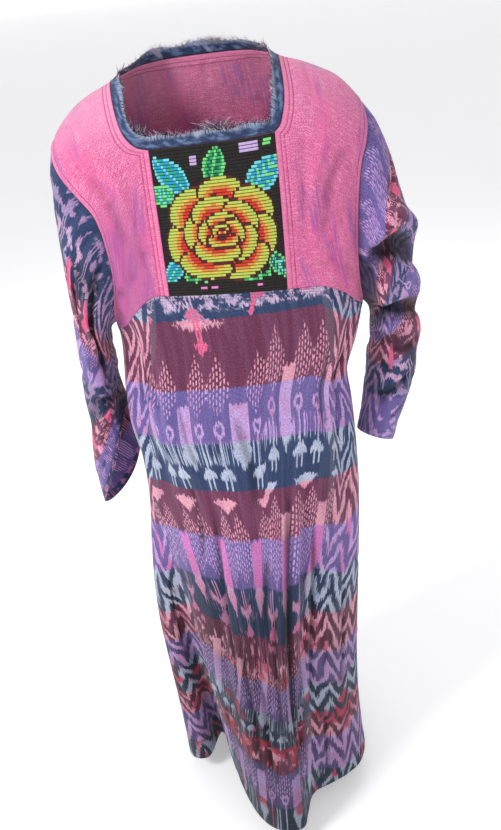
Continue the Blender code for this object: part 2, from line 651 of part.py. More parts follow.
def sleeve(name, table, folds, hole, hole_away, colour):
    """A sleeve lofted from the armhole through its sections to the cuff."""
    count = len(hole)
    angles = [360.0 * index / count for index in range(count)]
    rows = len(table)
    rings = []
    for row, section in enumerate(table):
        out_x, out_z, in_x, in_z, centre_y, half_y, slant_x, slant_z, bow_x, bow_z = section
        ring = []
        for index in range(count):
            turn = math.radians(angles[index])
            c, s = math.cos(turn), math.sin(turn)
            p = 2.0 / SLEEVE_SQUARE
            major = math.copysign(abs(c) ** p, c)
            minor = math.copysign(abs(s) ** p, s)
            x = (out_x + in_x) / 2 + (out_x - in_x) / 2 * major - slant_x * minor
            x += bow_x * minor * minor
            z = (out_z + in_z) / 2 + (out_z - in_z) / 2 * major - slant_z * minor
            z += bow_z * minor * minor
            ring.append((x, centre_y - half_y * minor, z))
        rings.append(ring)
    # The first rows keep the armhole's own outline and let go of it row by row
    start = rings[0]
    for row in range(rows):
        keep = max(0.0, 1.0 - row / SLEEVE_HOLD) ** SLEEVE_HOLD_CURVE
        for index in range(count):
            away = less(hole[index], start[index])
            rings[row][index] = add(rings[row][index], away, keep)
    flat = [list(ring) for ring in rings]
    for row in range(1, rows):
        middle = [sum(p[k] for p in flat[row]) / count for k in range(3)]
        fade = soft(row, 0.0, SLEEVE_CALM)
        for index in range(count):
            rise = fold_rise(folds, angles[index], row) * fade
            out = unit(less(flat[row][index], middle))
            rings[row][index] = add(flat[row][index], out, rise)
    normals = []
    for row in range(rows):
        line = []
        for index in range(count):
            around = less(rings[row][(index + 1) % count], rings[row][index - 1])
            down = less(rings[min(rows - 1, row + 1)][index], rings[max(0, row - 1)][index])
            normal = unit(cross(around, down))
            middle = [sum(p[k] for p in flat[row]) / count for k in range(3)]
            if dot(normal, less(rings[row][index], middle)) < 0.0:
                normal = (-normal[0], -normal[1], -normal[2])
            line.append(normal)
        normals.append(line)
    for index in range(count):
        away = hole_away[index]
        rings[0][index] = add(hole[index], away, SEAM_GAP)
        lean = dot(normals[0][index], away)
        if lean > 0.0:
            normals[0][index] = unit(add(normals[0][index], away, -lean))
    outer = list(reversed(rings))
    outward = list(reversed(normals))
    return shell(name, outer, outward, WALL_IKAT, colour, closed=True, turned=1)


def armhole_ring(front_edge, back_edge, side):
    """The armhole's outline as one ring, and the directions that lead away from the yoke."""
    ring = [("front", p) for p in placed(front_edge)]
    ring += [("back", p) for p in reversed(placed(back_edge))][1:-1]
    hole = [body(face, p[0], p[1]) for face, p in ring]
    outward = [body_normal(face, p[0], p[1]) for face, p in ring]
    away = []
    count = len(hole)
    for index in range(count):
        along = unit(less(hole[(index + 1) % count], hole[index - 1]))
        out = unit(cross(outward[index], along))
        if out[0] * side < 0.0 and abs(out[0]) > 0.2:
            out = (-out[0], -out[1], -out[2])
        near_pit = 1.0 - soft(abs(index - count / 2.0), 0.4, 2.2)
        away.append(unit(add(add((0.0, 0.0, 0.0), out, 1.0 - near_pit), outward[index], near_pit)))
    return hole, away


def neck_band(places):
    """The strip that stands on the neck edge and leans in to the neck: its rows and normals."""
    line = [body(face, p[0], p[1]) for face, p in places]
    outward = [body_normal(face, p[0], p[1]) for face, p in places]
    count = len(line)
    rows = [[], [], []]
    for index in range(count):
        here = line[index]
        along = unit(less(line[(index + 1) % count], line[index - 1]))
        out = unit(cross(along, outward[index]))
        if dot(out, less(NECK_INSIDE, here)) < 0.0:
            out = (-out[0], -out[1], -out[2])
        lean = unit((-here[0], -NECK_ABOVE_FLAT * here[1], NECK_ABOVE_Z - here[2]))
        toward = unit(add(out, lean, BAND_LEAN))
        wave = math.sin(index * BAND_WAVE_TURN) * BAND_WAVE
        wave += math.sin(index * BAND_WAVE_SLOW_TURN + 1.0) * BAND_WAVE * BAND_WAVE_SLOW
        tall = BAND_HEIGHT * (1.0 + BAND_TALLER * math.sin(index * BAND_TALLER_TURN + 0.4))
        rows[0].append(add(here, out, SEAM_GAP))
        rows[1].append(add(add(here, toward, tall * 0.5), outward[index], wave * 0.4))
        rows[2].append(add(add(here, toward, tall), outward[index], wave))
    normals = [[], [], []]
    for row in range(3):
        for index in range(count):
            along = less(rows[row][(index + 1) % count], rows[row][index - 1])
            up = less(rows[min(2, row + 1)][index], rows[max(0, row - 1)][index])
            normal = unit(cross(along, up))
            if dot(normal, outward[index]) < 0.0:
                normal = (-normal[0], -normal[1], -normal[2])
            normals[row].append(normal)
    for index in range(count):
        away = unit(less(rows[0][index], line[index]))
        lean = dot(normals[0][index], away)
        if lean > 0.0:
            normals[0][index] = unit(add(normals[0][index], away, -lean))
    shell("neck_band", rows, normals, WALL_BAND, INDIGO, closed=True)
    return rows, normals


def fringe_spots(rows, normals):
    """Points along the band's top edge: foot, upward and outward direction, and whether a thread stands."""
    count = len(rows[2])
    spots = []
    for index in range(count):
        following = (index + 1) % count
        here, there = rows[2][index], rows[2][following]
        below, below_next = rows[1][index], rows[1][following]
        half = FRINGE_BASE / 2 / math.dist(here, there)
        parts = [(0.0, False)]
        for cell in range(FRINGE_PER_SEGMENT):
            middle = (cell + 0.5) / FRINGE_PER_SEGMENT
            parts.extend([(middle - half, True), (middle + half, False)])
        for part, strand in parts:
            foot = add(here, less(there, here), part)
            low = add(below, less(below_next, below), part)
            n1, n2 = normals[2][index], normals[2][following]
            normal = unit(add((n1[0] * (1 - part), n1[1] * (1 - part), n1[2] * (1 - part)), n2, part))
            spots.append((foot, unit(less(foot, low)), normal, strand))
    return spots


def neck_fringe(rows, normals):
    """The frayed edge: a narrow strip above the band with threads standing on it."""
    spots = fringe_spots(rows, normals)
    vertices = []
    faces = []
    total = len(spots)
    for foot, up, normal, strand in spots:
        base = add(foot, up, SEAM_GAP)
        top = add(foot, up, SEAM_GAP + FRINGE_STRIP)
        vertices.extend([base, top, add(top, normal, -FRINGE_THICK), add(base, normal, -FRINGE_THICK)])
    for index in range(total):
        a = index * 4
        b = ((index + 1) % total) * 4
        faces.append((a, b, b + 1, a + 1))
        faces.append((a + 2, b + 2, b + 3, a + 3))
        faces.append((a + 3, b + 3, b, a))
        foot, up, normal, strand = spots[index]
        if not strand:
            faces.append((a + 1, b + 1, b + 2, a + 2))
            continue
        along = unit(less(spots[(index + 1) % total][0], foot))
        share = FRINGE_SHORTEST + (1.0 - FRINGE_SHORTEST) * abs(math.sin(index * 0.61 + 0.6))
        tall = FRINGE_LONG * share
        side_lean = FRINGE_SIDE_LEAN * math.sin(index * 1.3)
        out_lean = FRINGE_OUT_LEAN * math.sin(index * 0.83 + 1.3)
        vertices.append(add(add(add(foot, up, tall), along, side_lean * tall), normal, out_lean * tall))
        tip = len(vertices) - 1
        faces.append((a + 1, b + 1, tip))
        faces.append((b + 1, b + 2, tip))
        faces.append((b + 2, a + 2, tip))
        faces.append((a + 2, a + 1, tip))
    first = faces[0]
    a, b, d = vertices[first[0]], vertices[first[1]], vertices[first[3]]
    if dot(cross(less(b, a), less(d, a)), spots[0][2]) < 0.0:
        faces = [tuple(reversed(face)) for face in faces]
    finish("neck_fringe", vertices, faces, THREAD)


for item in list(bpy.data.objects):
    bpy.data.objects.remove(item, do_unlink=True)

COLLECTION = bpy.data.collections.new("maxi_dress")
bpy.context.scene.collection.children.link(COLLECTION)

# Shared edges of the pieces
pit_right = underarm(-1.0)
pit_left = underarm(1.0)
seam_front_line = [pit_right] + SEAM_FRONT + [pit_left]
seam_back_line = [pit_right] + SEAM_BACK + [pit_left]
seam_right = seam_edge(seam_front_line, pit_right, BIB_RIGHT[0], COLUMNS_RIGHT)
seam_middle = seam_edge(seam_front_line, BIB_RIGHT[0], BIB_LEFT[0], COLUMNS_MIDDLE)
seam_left = seam_edge(seam_front_line, BIB_LEFT[0], pit_left, COLUMNS_LEFT)
hole_rows = ROWS_BIB + ROWS_NECK
hole_rf = edge(ARMHOLE_RIGHT_FRONT + [pit_right], hole_rows)
hole_rb = edge(ARMHOLE_RIGHT_BACK + [pit_right], hole_rows)
hole_lf = edge(ARMHOLE_LEFT_FRONT + [pit_left], hole_rows)
hole_lb = edge(ARMHOLE_LEFT_BACK + [pit_left], hole_rows)
bib_right = edge(BIB_RIGHT, ROWS_BIB)
bib_left = edge(BIB_LEFT, ROWS_BIB)
neck_right = edge(NECK_RIGHT, ROWS_NECK, 1.5)
neck_left = edge(NECK_LEFT, ROWS_NECK, 1.5)
neck_bib = edge(NECK_BIB, COLUMNS_MIDDLE)
neck_back = edge(NECK_BACK, COLUMNS_MIDDLE)
shoulder_right = shoulder_edge(SHOULDER_TIP_RIGHT, -NECK_SIDE, COLUMNS_RIGHT)
shoulder_left = shoulder_edge(NECK_SIDE, SHOULDER_TIP_LEFT, COLUMNS_LEFT)

# Yoke, wearer's right front
net = spread(seam_right, shoulder_right, list(reversed(hole_rf)), bib_right + neck_right[1:])
points, normals = lay("front", [placed(line) for line in net])
shell("yoke_front_right", draw_in(points, SEAM_GAP / 2), normals, WALL_YOKE, PINK)

# Yoke, wearer's left front
net = spread(seam_left, shoulder_left, bib_left + neck_left[1:], list(reversed(hole_lf)))
points, normals = lay("front", [placed(line) for line in net])
shell("yoke_front_left", draw_in(points, SEAM_GAP / 2), normals, WALL_YOKE, PINK)

# Brocade bib
net = spread(seam_middle, neck_bib, bib_right, bib_left)
points, normals = lay("front", [placed(line) for line in net])
shell("bib_panel", draw_in(points, SEAM_GAP / 2), normals, WALL_BIB, BROCADE)

# Yoke behind
seam_behind = seam_edge(seam_back_line, pit_right, pit_left, COLUMNS_RIGHT + COLUMNS_MIDDLE + COLUMNS_LEFT)
top_behind = shoulder_right + neck_back[1:-1] + shoulder_left
net = spread(seam_behind, top_behind, list(reversed(hole_rb)), list(reversed(hole_lb)))
points, normals = lay("back", [placed(line) for line in net])
shell("yoke_back", draw_in(points, SEAM_GAP / 2), normals, WALL_YOKE, PINK_DEEP)

# Skirt in front and behind
seam_ahead = seam_right + seam_middle[1:] + seam_left[1:]
for face, name, top, colour in (("front", "skirt_front", seam_ahead, IKAT_FRONT),
                                ("back", "skirt_back", seam_behind, IKAT_BACK)):
    net = []
    for row in range(ROWS_SKIRT + 1):
        share = row / ROWS_SKIRT
        if row == 1:
            share = HEM_ROW
        net.append([(place, HEM_Z + (z - HEM_Z) * share) for place, z in placed(top)])
    points, normals = lay(face, net)
    shell(name, draw_in(points, SEAM_GAP / 2), normals, WALL_IKAT, colour, turned=2)

# Sleeves
for name, table, folds, front_edge, back_edge, side in (
        ("sleeve_right", SLEEVE_RIGHT, FOLDS_SLEEVE_RIGHT, hole_rf, hole_rb, -1.0),
        ("sleeve_left", SLEEVE_LEFT, FOLDS_SLEEVE_LEFT, hole_lf, hole_lb, 1.0)):
    hole, away = armhole_ring(front_edge, back_edge, side)
    sleeve(name, table, folds, hole, away, IKAT_SLEEVE)

# Neck band and its frayed edge
neck_places = ([("front", p) for p in placed(neck_bib + neck_left[1:])]
               + [("back", p) for p in reversed(placed(neck_back[1:-1]))]
               + [("front", p) for p in reversed(placed(neck_right))][:-1])
band_rows, band_normals = neck_band(neck_places)
neck_fringe(band_rows, band_normals)
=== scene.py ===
# %% [markdown]
# # A worn maxi dress in Blender
# The dress has a pink handwoven yoke, a brocade bib, a skirt and sleeves in ikat cotton and a raw-edged
# strip round the neck. Its solids were made first and are packed as a fixed frame. This lesson dresses
# that frame: every panel is a fine sheet of cloth on the solid's own form, with its creases, seams,
# stitches and woven colours.

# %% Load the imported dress
import math

import bmesh
import bpy
import numpy as np
from mathutils import Matrix, Vector


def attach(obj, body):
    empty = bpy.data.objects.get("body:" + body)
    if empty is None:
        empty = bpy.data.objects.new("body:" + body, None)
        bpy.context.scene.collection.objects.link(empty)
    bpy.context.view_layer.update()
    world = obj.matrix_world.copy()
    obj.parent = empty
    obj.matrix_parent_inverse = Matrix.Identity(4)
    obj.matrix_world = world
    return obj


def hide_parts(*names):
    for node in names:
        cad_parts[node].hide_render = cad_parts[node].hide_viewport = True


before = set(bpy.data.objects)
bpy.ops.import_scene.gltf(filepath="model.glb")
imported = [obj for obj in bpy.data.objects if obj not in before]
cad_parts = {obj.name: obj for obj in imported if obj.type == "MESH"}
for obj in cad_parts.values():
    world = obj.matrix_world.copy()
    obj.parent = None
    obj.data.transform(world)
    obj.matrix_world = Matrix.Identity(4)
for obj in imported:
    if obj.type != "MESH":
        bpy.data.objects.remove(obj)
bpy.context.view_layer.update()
print("solids:", sorted(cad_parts))

# %% [markdown]
# ## The form of the body
# A worn dress is a loose tube. Rings give its width and depth at each height, a line gives the top of the
# shoulders, and the hem seen from above gives the flutes that the skirt falls into. All sizes are in
# metres, +Z is up, the front faces -Y, and right and left are the wearer's: the right side is at -X.

# %% Sizes of the dress
WALL_YOKE = 0.0016
WALL_IKAT = 0.0014
WALL_BIB = 0.0014
WALL_BAND = 0.0012
SEAM_GAP = 0.0003
HEM_Z = -1.376
PIT_RIGHT_Z = -0.355
PIT_LEFT_Z = -0.363
FLARE_TOP_Z = -0.44
FLARE_CURVE = 1.7
SHOULDER_ROUND = 0.075
SHOULDER_TIP = {"right": -0.233, "left": 0.248}
NECK_SIDE = 0.127

# How far apart the points are that give a slope, and how near the top or the side counts as on it
HEIGHT_STEP = 0.0006
PLACE_STEP = 0.004
RUN_STEP = 0.01
TOP_NEAR = 0.0012
SIDE_NEAR = 0.9999
# Steps of an edge before it is cut, and rounds that bring a seam onto its line
EDGE_STEPS = 960
SEAM_PASSES = 14
# Shares of a fold's length where it has risen, starts to sink and has gone, and the place beyond
# which every fold dies down towards the side seam
FOLD_RISEN = 0.28
FOLD_SINKS = 0.72
FOLD_GONE = 1.12
FOLD_CALM = 0.9

# Rings round the body: height, centre across, half width, depth in front, depth behind, squareness
RINGS = [
    (-1.376, -0.014, 0.189, 0.19, 0.135, 2.2),
    (-1.27, -0.014, 0.189, 0.175, 0.135, 2.2),
    (-1.15, -0.01, 0.199, 0.165, 0.135, 2.2),
    (-1.0, -0.002, 0.21, 0.155, 0.132, 2.2),
    (-0.85, 0.011, 0.208, 0.148, 0.13, 2.2),
    (-0.72, 0.022, 0.201, 0.143, 0.126, 2.2),
    (-0.61, 0.022, 0.197, 0.138, 0.118, 2.3),
    (-0.54, 0.015, 0.199, 0.134, 0.112, 2.4),
    (-0.48, 0.013, 0.196, 0.131, 0.106, 2.4),
    (-0.42, 0.024, 0.203, 0.129, 0.102, 2.4),
    (-0.36, 0.03, 0.21, 0.127, 0.1, 2.4),
    (-0.28, 0.024, 0.224, 0.126, 0.1, 2.3),
    (-0.2, 0.016, 0.238, 0.121, 0.1, 2.3),
    (-0.12, 0.012, 0.252, 0.112, 0.098, 2.3),
    (-0.05, 0.01, 0.266, 0.098, 0.092, 2.3),
    (0.04, 0.01, 0.27, 0.082, 0.084, 2.3),
    (0.12, 0.01, 0.27, 0.08, 0.08, 2.3),
]

# Top line of the shoulders, rising into the neck: across, height
SHOULDER_LINE = [
    (-0.3, -0.2), (-0.262, -0.112), (-0.237, -0.064), (-0.216, -0.034), (-0.19, -0.009),
    (-0.162, 0.008), (-0.127, 0.024), (-0.1, 0.05), (-0.05, 0.09), (0.0, 0.102),
    (0.05, 0.098), (0.1, 0.062), (0.127, 0.036), (0.16, 0.024), (0.19, 0.011),
    (0.215, -0.003), (0.239, -0.027), (0.254, -0.048), (0.275, -0.09), (0.305, -0.16),
]

# Seams and edges, each as across and height. None takes the height from the shoulder line
SEAM_FRONT = [
    (-0.165, -0.348), (-0.15, -0.331), (-0.132, -0.31), (-0.105, -0.286), (-0.077, -0.284),
    (0.017, -0.287), (0.107, -0.292), (0.15, -0.295), (0.17, -0.3), (0.202, -0.321),
    (0.226, -0.347),
]
SEAM_BACK = [
    (-0.15, -0.322), (-0.105, -0.302), (-0.04, -0.296), (0.03, -0.294),
    (0.1, -0.298), (0.16, -0.308), (0.206, -0.328),
]
ARMHOLE_RIGHT_FRONT = [
    (-0.233, None), (-0.23, -0.08), (-0.218, -0.103), (-0.197, -0.13), (-0.179, -0.153),
    (-0.17, -0.18), (-0.166, -0.212), (-0.164, -0.246), (-0.168, -0.284), (-0.176, -0.32),
]
ARMHOLE_RIGHT_BACK = [
    (-0.233, None), (-0.2315, -0.095), (-0.224, -0.14), (-0.211, -0.19), (-0.202, -0.24),
    (-0.193, -0.29),
]
ARMHOLE_LEFT_FRONT = [
    (0.248, None), (0.254, -0.066), (0.25, -0.092), (0.24, -0.122), (0.234, -0.158),
    (0.231, -0.195), (0.229, -0.235), (0.228, -0.275), (0.231, -0.318),
]
ARMHOLE_LEFT_BACK = [
    (0.248, None), (0.252, -0.09), (0.245, -0.14), (0.238, -0.195), (0.233, -0.25),
    (0.233, -0.305),
]
NECK_RIGHT = [
    (-0.078, -0.065), (-0.096, -0.06), (-0.109, -0.047), (-0.116, -0.031), (-0.121, -0.01),
    (-0.127, None),
]
NECK_BIB = [(-0.078, -0.065), (-0.04, -0.0645), (0.02, -0.0635), (0.07, -0.062), (0.108, -0.059)]
NECK_LEFT = [
    (0.108, -0.059), (0.117, -0.05), (0.122, -0.036), (0.126, -0.019), (0.128, 0.004),
    (0.127, None),
]
NECK_BACK = [
    (-0.127, None), (-0.113, 0.028), (-0.085, 0.036), (-0.04, 0.04), (0.0, 0.041),
    (0.045, 0.042), (0.09, 0.042), (0.115, 0.038), (0.127, None),
]
BIB_RIGHT = [(-0.077, -0.284), (-0.077, -0.175), (-0.078, -0.065)]
BIB_LEFT = [(0.107, -0.292), (0.108, -0.175), (0.108, -0.059)]

# The hem seen from above, from the right side seam to the left one: across, depth
HEM_FRONT = [
    (-0.181, 0.002), (-0.188, -0.03), (-0.181, -0.056), (-0.166, -0.067), (-0.149, -0.068),
    (-0.136, -0.052), (-0.126, -0.022), (-0.115, 0.0), (-0.104, -0.016), (-0.097, -0.056),
    (-0.089, -0.092), (-0.077, -0.137), (-0.06, -0.187), (-0.042, -0.225), (-0.02, -0.252),
    (0.002, -0.265), (0.03, -0.27), (0.05, -0.26), (0.06, -0.23), (0.067, -0.2),
    (0.08, -0.182), (0.1, -0.173), (0.126, -0.162), (0.154, -0.147), (0.178, -0.128),
    (0.194, -0.1), (0.202, -0.062), (0.196, -0.018),
]
HEM_BACK = [
    (-0.181, 0.002), (-0.189, 0.04), (-0.197, 0.078), (-0.182, 0.1), (-0.158, 0.092),
    (-0.138, 0.084), (-0.124, 0.106), (-0.124, 0.146), (-0.106, 0.178), (-0.08, 0.176),
    (-0.062, 0.146), (-0.042, 0.122), (-0.018, 0.128), (-0.004, 0.16), (0.018, 0.192),
    (0.048, 0.192), (0.068, 0.162), (0.082, 0.124), (0.104, 0.112), (0.128, 0.13),
    (0.152, 0.152), (0.178, 0.134), (0.186, 0.1), (0.186, 0.06), (0.198, 0.022),
    (0.196, -0.018),
]
# Where a thread at the yoke seam comes down on the hem: place at the seam, share of the hem's length
HEM_MATCH = {
    "front": [(-1.0, 0.0), (-0.4, 0.31), (0.0, 0.515), (0.42, 0.71), (1.0, 1.0)],
    "back": [(-1.0, 0.0), (-0.5, 0.25), (0.0, 0.5), (0.5, 0.75), (1.0, 1.0)],
}

# Broad folds of each face: place at the top, top height, place at the foot, foot height, half
# width and rise (a fall when below zero). Places run from -1 at the right side seam to 1 at the left
FOLDS = {
    "front": [
        (-0.42, -0.235, -0.36, -0.64, 0.07, 0.009),
        (-0.66, -0.29, -0.6, -0.66, 0.08, -0.011),
        (-0.86, -0.37, -0.78, -0.72, 0.08, 0.005),
        (0.45, -0.235, 0.4, -0.66, 0.075, 0.009),
        (0.66, -0.3, 0.62, -0.72, 0.085, -0.01),
        (0.27, -0.56, 0.3, -1.36, 0.06, -0.013),
        (0.15, -0.56, 0.16, -1.3, 0.06, 0.007),
        (0.03, -0.64, 0.04, -1.26, 0.055, -0.008),
        (-0.09, -0.62, -0.07, -1.26, 0.055, 0.0065),
        (-0.2, -0.56, -0.19, -1.2, 0.055, -0.007),
        (-0.52, -0.76, -0.5, -1.3, 0.07, -0.007),
        (-0.7, -0.86, -0.72, -1.34, 0.07, 0.006),
        (0.52, -0.76, 0.5, -1.3, 0.07, 0.007),
        (0.74, -0.86, 0.76, -1.34, 0.08, -0.007),
    ],
    "back": [
        (-0.55, -0.33, -0.52, -1.25, 0.09, -0.008),
        (-0.25, -0.4, -0.22, -1.3, 0.09, 0.007),
        (0.02, -0.33, 0.0, -1.25, 0.09, -0.0085),
        (0.3, -0.42, 0.27, -1.3, 0.09, 0.0075),
        (0.6, -0.33, 0.56, -1.25, 0.09, -0.008),
    ],
}

# %% [markdown]
# ## Smooth numbers from short tables
# Every size above is a short table. One function reads a smooth value between its rows, and another runs
# a smooth curve through an edge's points and cuts it into equal lengths. Both work on whole arrays at
# once, so that a panel of many thousand points takes a moment.


# %% Curves through tables
def table_value(rows, at, column=1):
    """Smooth values of a table's column at places in its first column, level beyond both ends."""
    rows = np.array(rows, float)
    key = rows[:, 0]
    value = rows[:, column]
    slope = (np.r_[value[1:], value[-1]] - np.r_[value[0], value[:-1]])
    slope = slope / (np.r_[key[1:], key[-1]] - np.r_[key[0], key[:-1]])
    at = np.clip(np.asarray(at, float), key[0], key[-1])
    low = np.clip(np.searchsorted(key, at, "right") - 1, 0, len(key) - 2)
    span = key[low + 1] - key[low]
    s = (at - key[low]) / span
    s2 = s * s
    s3 = s2 * s
    return ((2 * s3 - 3 * s2 + 1) * value[low] + (s3 - 2 * s2 + s) * slope[low] * span
            + (3 * s2 - 2 * s3) * value[low + 1] + (s3 - s2) * slope[low + 1] * span)


def eased(value, low, high):
    """Zero below low, one above high, eased between."""
    part = np.clip((np.asarray(value, float) - low) / (high - low), 0.0, 1.0)
    return part * part * (3.0 - 2.0 * part)


def running(points, axis=0):
    """Lengths along rows or columns of points, counted up from zero."""
    steps = np.linalg.norm(np.diff(points, axis=axis), axis=-1)
    start = np.zeros_like(np.take(steps, [0], axis=axis))
    return np.concatenate([start, np.cumsum(steps, axis=axis)], axis=axis)


def smooth_line(points, count, steps=24):
    """A smooth curve through the points, cut into equal lengths."""
    points = np.array(points, float)
    padded = np.vstack([points[:1], points, points[-1:]])
    p0, p1, p2, p3 = padded[:-3], padded[1:-2], padded[2:-1], padded[3:]
    t = (np.arange(steps) / steps)[None, :, None]
    run = 0.5 * (2 * p1[:, None] + (p2 - p0)[:, None] * t
                 + (2 * p0 - 5 * p1 + 4 * p2 - p3)[:, None] * t * t
                 + (3 * p1 - p0 - 3 * p2 + p3)[:, None] * t * t * t)
    run = np.vstack([run.reshape(-1, points.shape[1]), points[-1:]])
    length = running(run)
    goal = np.linspace(0.0, length[-1], count + 1)
    return np.stack([np.interp(goal, length, run[:, k]) for k in range(points.shape[1])], axis=1)


HEM_STEPS = 400
HEM_LINE = {"front": smooth_line(HEM_FRONT, HEM_STEPS), "back": smooth_line(HEM_BACK, HEM_STEPS)}
print("hem, front:", round(float(running(HEM_LINE["front"])[-1]), 3), "m")


# %% [markdown]
# ## Points on the body
# A point of the dress is named by its face (front or back), its place from -1 at the right side seam to 1
# at the left one, and its height. The ring gives a rounded square, the shoulder line closes it at the
# top, and below the waist it eases over into the hem's own outline. The broad folds are pushed in or out
# along the cloth's normal.


# %% The body as a function
def plain_body(face, place, z):
    """Across and depth of the body without its folds."""
    centre = table_value(RINGS, z, 1)
    half = table_value(RINGS, z, 2)
    depth = table_value(RINGS, z, 3 if face == "front" else 4)
    power = 2.0 / table_value(RINGS, z, 5)
    angle = place * math.pi / 2.0
    x = centre + half * np.sign(place) * np.abs(np.sin(angle)) ** power
    y = depth * np.abs(np.cos(angle)) ** power
    over = np.clip((table_value(SHOULDER_LINE, x) - z) / SHOULDER_ROUND, 0.0, 1.0)
    y = y * np.sqrt(np.clip(1.0 - (1.0 - over) ** 2, 0.0, 1.0))
    if face == "front":
        y = -y
    drop = np.clip((FLARE_TOP_Z - z) / (FLARE_TOP_Z - HEM_Z), 0.0, 1.0) ** FLARE_CURVE
    share = np.clip(table_value(HEM_MATCH[face], place), 0.0, 1.0)
    steps = np.linspace(0.0, 1.0, HEM_STEPS + 1)
    hem_x = np.interp(share, steps, HEM_LINE[face][:, 0])
    hem_y = np.interp(share, steps, HEM_LINE[face][:, 1])
    return x + (hem_x - x) * drop, y + (hem_y - y) * drop


def body(face, place, z):
    """Outer points of the body with its folds, as an array of x, y and z."""
    place, z = np.broadcast_arrays(np.asarray(place, float), np.asarray(z, float))
    x, y = plain_body(face, place, z)
    rise = np.zeros(place.shape)
    for top, top_z, foot, foot_z, half, height in FOLDS[face]:
        part = (top_z - z) / (top_z - foot_z)
        middle = top + (foot - top) * part
        fade = eased(part, 0.0, FOLD_RISEN) * (1.0 - eased(part, FOLD_SINKS, FOLD_GONE))
        rise += height * fade * np.exp(-((place - middle) / half) ** 2)
    rise *= 1.0 - eased(np.abs(place), FOLD_CALM, 1.0)
    ahead = plain_body(face, np.minimum(1.0, place + RUN_STEP), z)
    behind = plain_body(face, np.maximum(-1.0, place - RUN_STEP), z)
    run_x, run_y = ahead[0] - behind[0], ahead[1] - behind[1]
    size = np.maximum(np.hypot(run_x, run_y), 1e-9)
    side = 1.0 if face == "front" else -1.0
    return np.stack([x + side * run_y / size * rise, y - side * run_x / size * rise, z], axis=-1)


def unit(a):
    """The same directions with a length of one."""
    return a / np.maximum(np.linalg.norm(a, axis=-1, keepdims=True), 1e-12)


def slope_normal(face, place, z):
    """Outward directions from the points just beside, above and below."""
    ahead = body(face, np.minimum(1.0, place + PLACE_STEP), z)
    run = ahead - body(face, np.maximum(-1.0, place - PLACE_STEP), z)
    up = body(face, place, z + HEIGHT_STEP) - body(face, place, z - HEIGHT_STEP)
    normal = unit(np.cross(run, up))
    return normal if face == "front" else -normal


def body_normal(face, place, z):
    """Outward directions; both faces agree on the side seams and on the shoulder line."""
    place, z = np.broadcast_arrays(np.asarray(place, float), np.asarray(z, float))
    own = slope_normal(face, place, z)
    on_top = table_value(SHOULDER_LINE, plain_body(face, place, z)[0]) - z < TOP_NEAR
    low = z - np.where(on_top, TOP_NEAR, 0.0)
    shared = unit(slope_normal("front", place, low) + slope_normal("back", place, low))
    meet = on_top | (np.abs(place) > SIDE_NEAR)
    return np.where(meet[..., None], shared, own)


def place_of(x, z):
    """Place from -1 to 1 for a distance across at a height."""
    across = np.clip((x - table_value(RINGS, z, 1)) / table_value(RINGS, z, 2), -1.0, 1.0)
    return np.sign(across) * np.arcsin(np.abs(across) ** (table_value(RINGS, z, 5) / 2.0)) * 2.0 / math.pi


def on_body(face, net, surface=body):
    """Points of the body, or its normals, at distances across and heights."""
    return surface(face, place_of(net[..., 0], net[..., 1]), net[..., 1])


# %% [markdown]
# ## Edges and panels
# A maker cuts each panel to its edges. Here an edge is a smooth line of distances across and heights, and
# a panel is the patch between four edges, laid on the body. The same edge serves both panels that meet at
# a seam, so they meet everywhere, each held back by half the seam's gap.


# %% Edges between the panels
def underarm(side):
    """The underarm point at the foot of an armhole, on the side seam."""
    z = PIT_RIGHT_Z if side < 0 else PIT_LEFT_Z
    return (float(table_value(RINGS, z, 1) + side * table_value(RINGS, z, 2)), z)


def edge(points, count, ease=1.0):
    """An edge cut evenly, or crowded to its end by ease."""
    known = [(x, float(table_value(SHOULDER_LINE, x)) if z is None else z) for x, z in points]
    line = smooth_line(known, EDGE_STEPS)
    share = 1.0 - (1.0 - np.linspace(0.0, 1.0, count + 1)) ** ease
    return line[np.round(share * EDGE_STEPS).astype(int)]


def shoulder_edge(start, stop, count):
    """The shoulder line between two distances across."""
    x = np.linspace(start, stop, count + 1)
    return np.stack([x, table_value(SHOULDER_LINE, x)], axis=1)


def seam_edge(points, start, stop, count):
    """The lower yoke seam between two points, cut evenly round the body."""
    place = np.linspace(place_of(*start), place_of(*stop), count + 1)
    z = table_value(points, np.linspace(start[0], stop[0], count + 1))
    for _ in range(SEAM_PASSES):
        x = plain_body("front", place, z)[0]
        z = table_value(points, x)
    line = np.stack([x, z], axis=1)
    line[0], line[-1] = start, stop
    return line


def patch(bottom, top, left, right):
    """Points between four edges: bottom and top run across, left and right run up."""
    u = np.linspace(0.0, 1.0, len(bottom))[None, :, None]
    v = np.linspace(0.0, 1.0, len(left))[:, None, None]
    corners = ((1 - u) * (1 - v) * bottom[0] + u * (1 - v) * bottom[-1]
               + (1 - u) * v * top[0] + u * v * top[-1])
    return (1 - v) * bottom[None] + v * top[None] + (1 - u) * left[:, None] + u * right[:, None] - corners


PIT_RIGHT = underarm(-1.0)
PIT_LEFT = underarm(1.0)
SEAM_FRONT_LINE = [PIT_RIGHT] + SEAM_FRONT + [PIT_LEFT]
SEAM_BACK_LINE = [PIT_RIGHT] + SEAM_BACK + [PIT_LEFT]
ARMHOLES = {
    ("right", "front"): ARMHOLE_RIGHT_FRONT + [PIT_RIGHT],
    ("right", "back"): ARMHOLE_RIGHT_BACK + [PIT_RIGHT],
    ("left", "front"): ARMHOLE_LEFT_FRONT + [PIT_LEFT],
    ("left", "back"): ARMHOLE_LEFT_BACK + [PIT_LEFT],
}
print("underarm points:", PIT_RIGHT, PIT_LEFT)

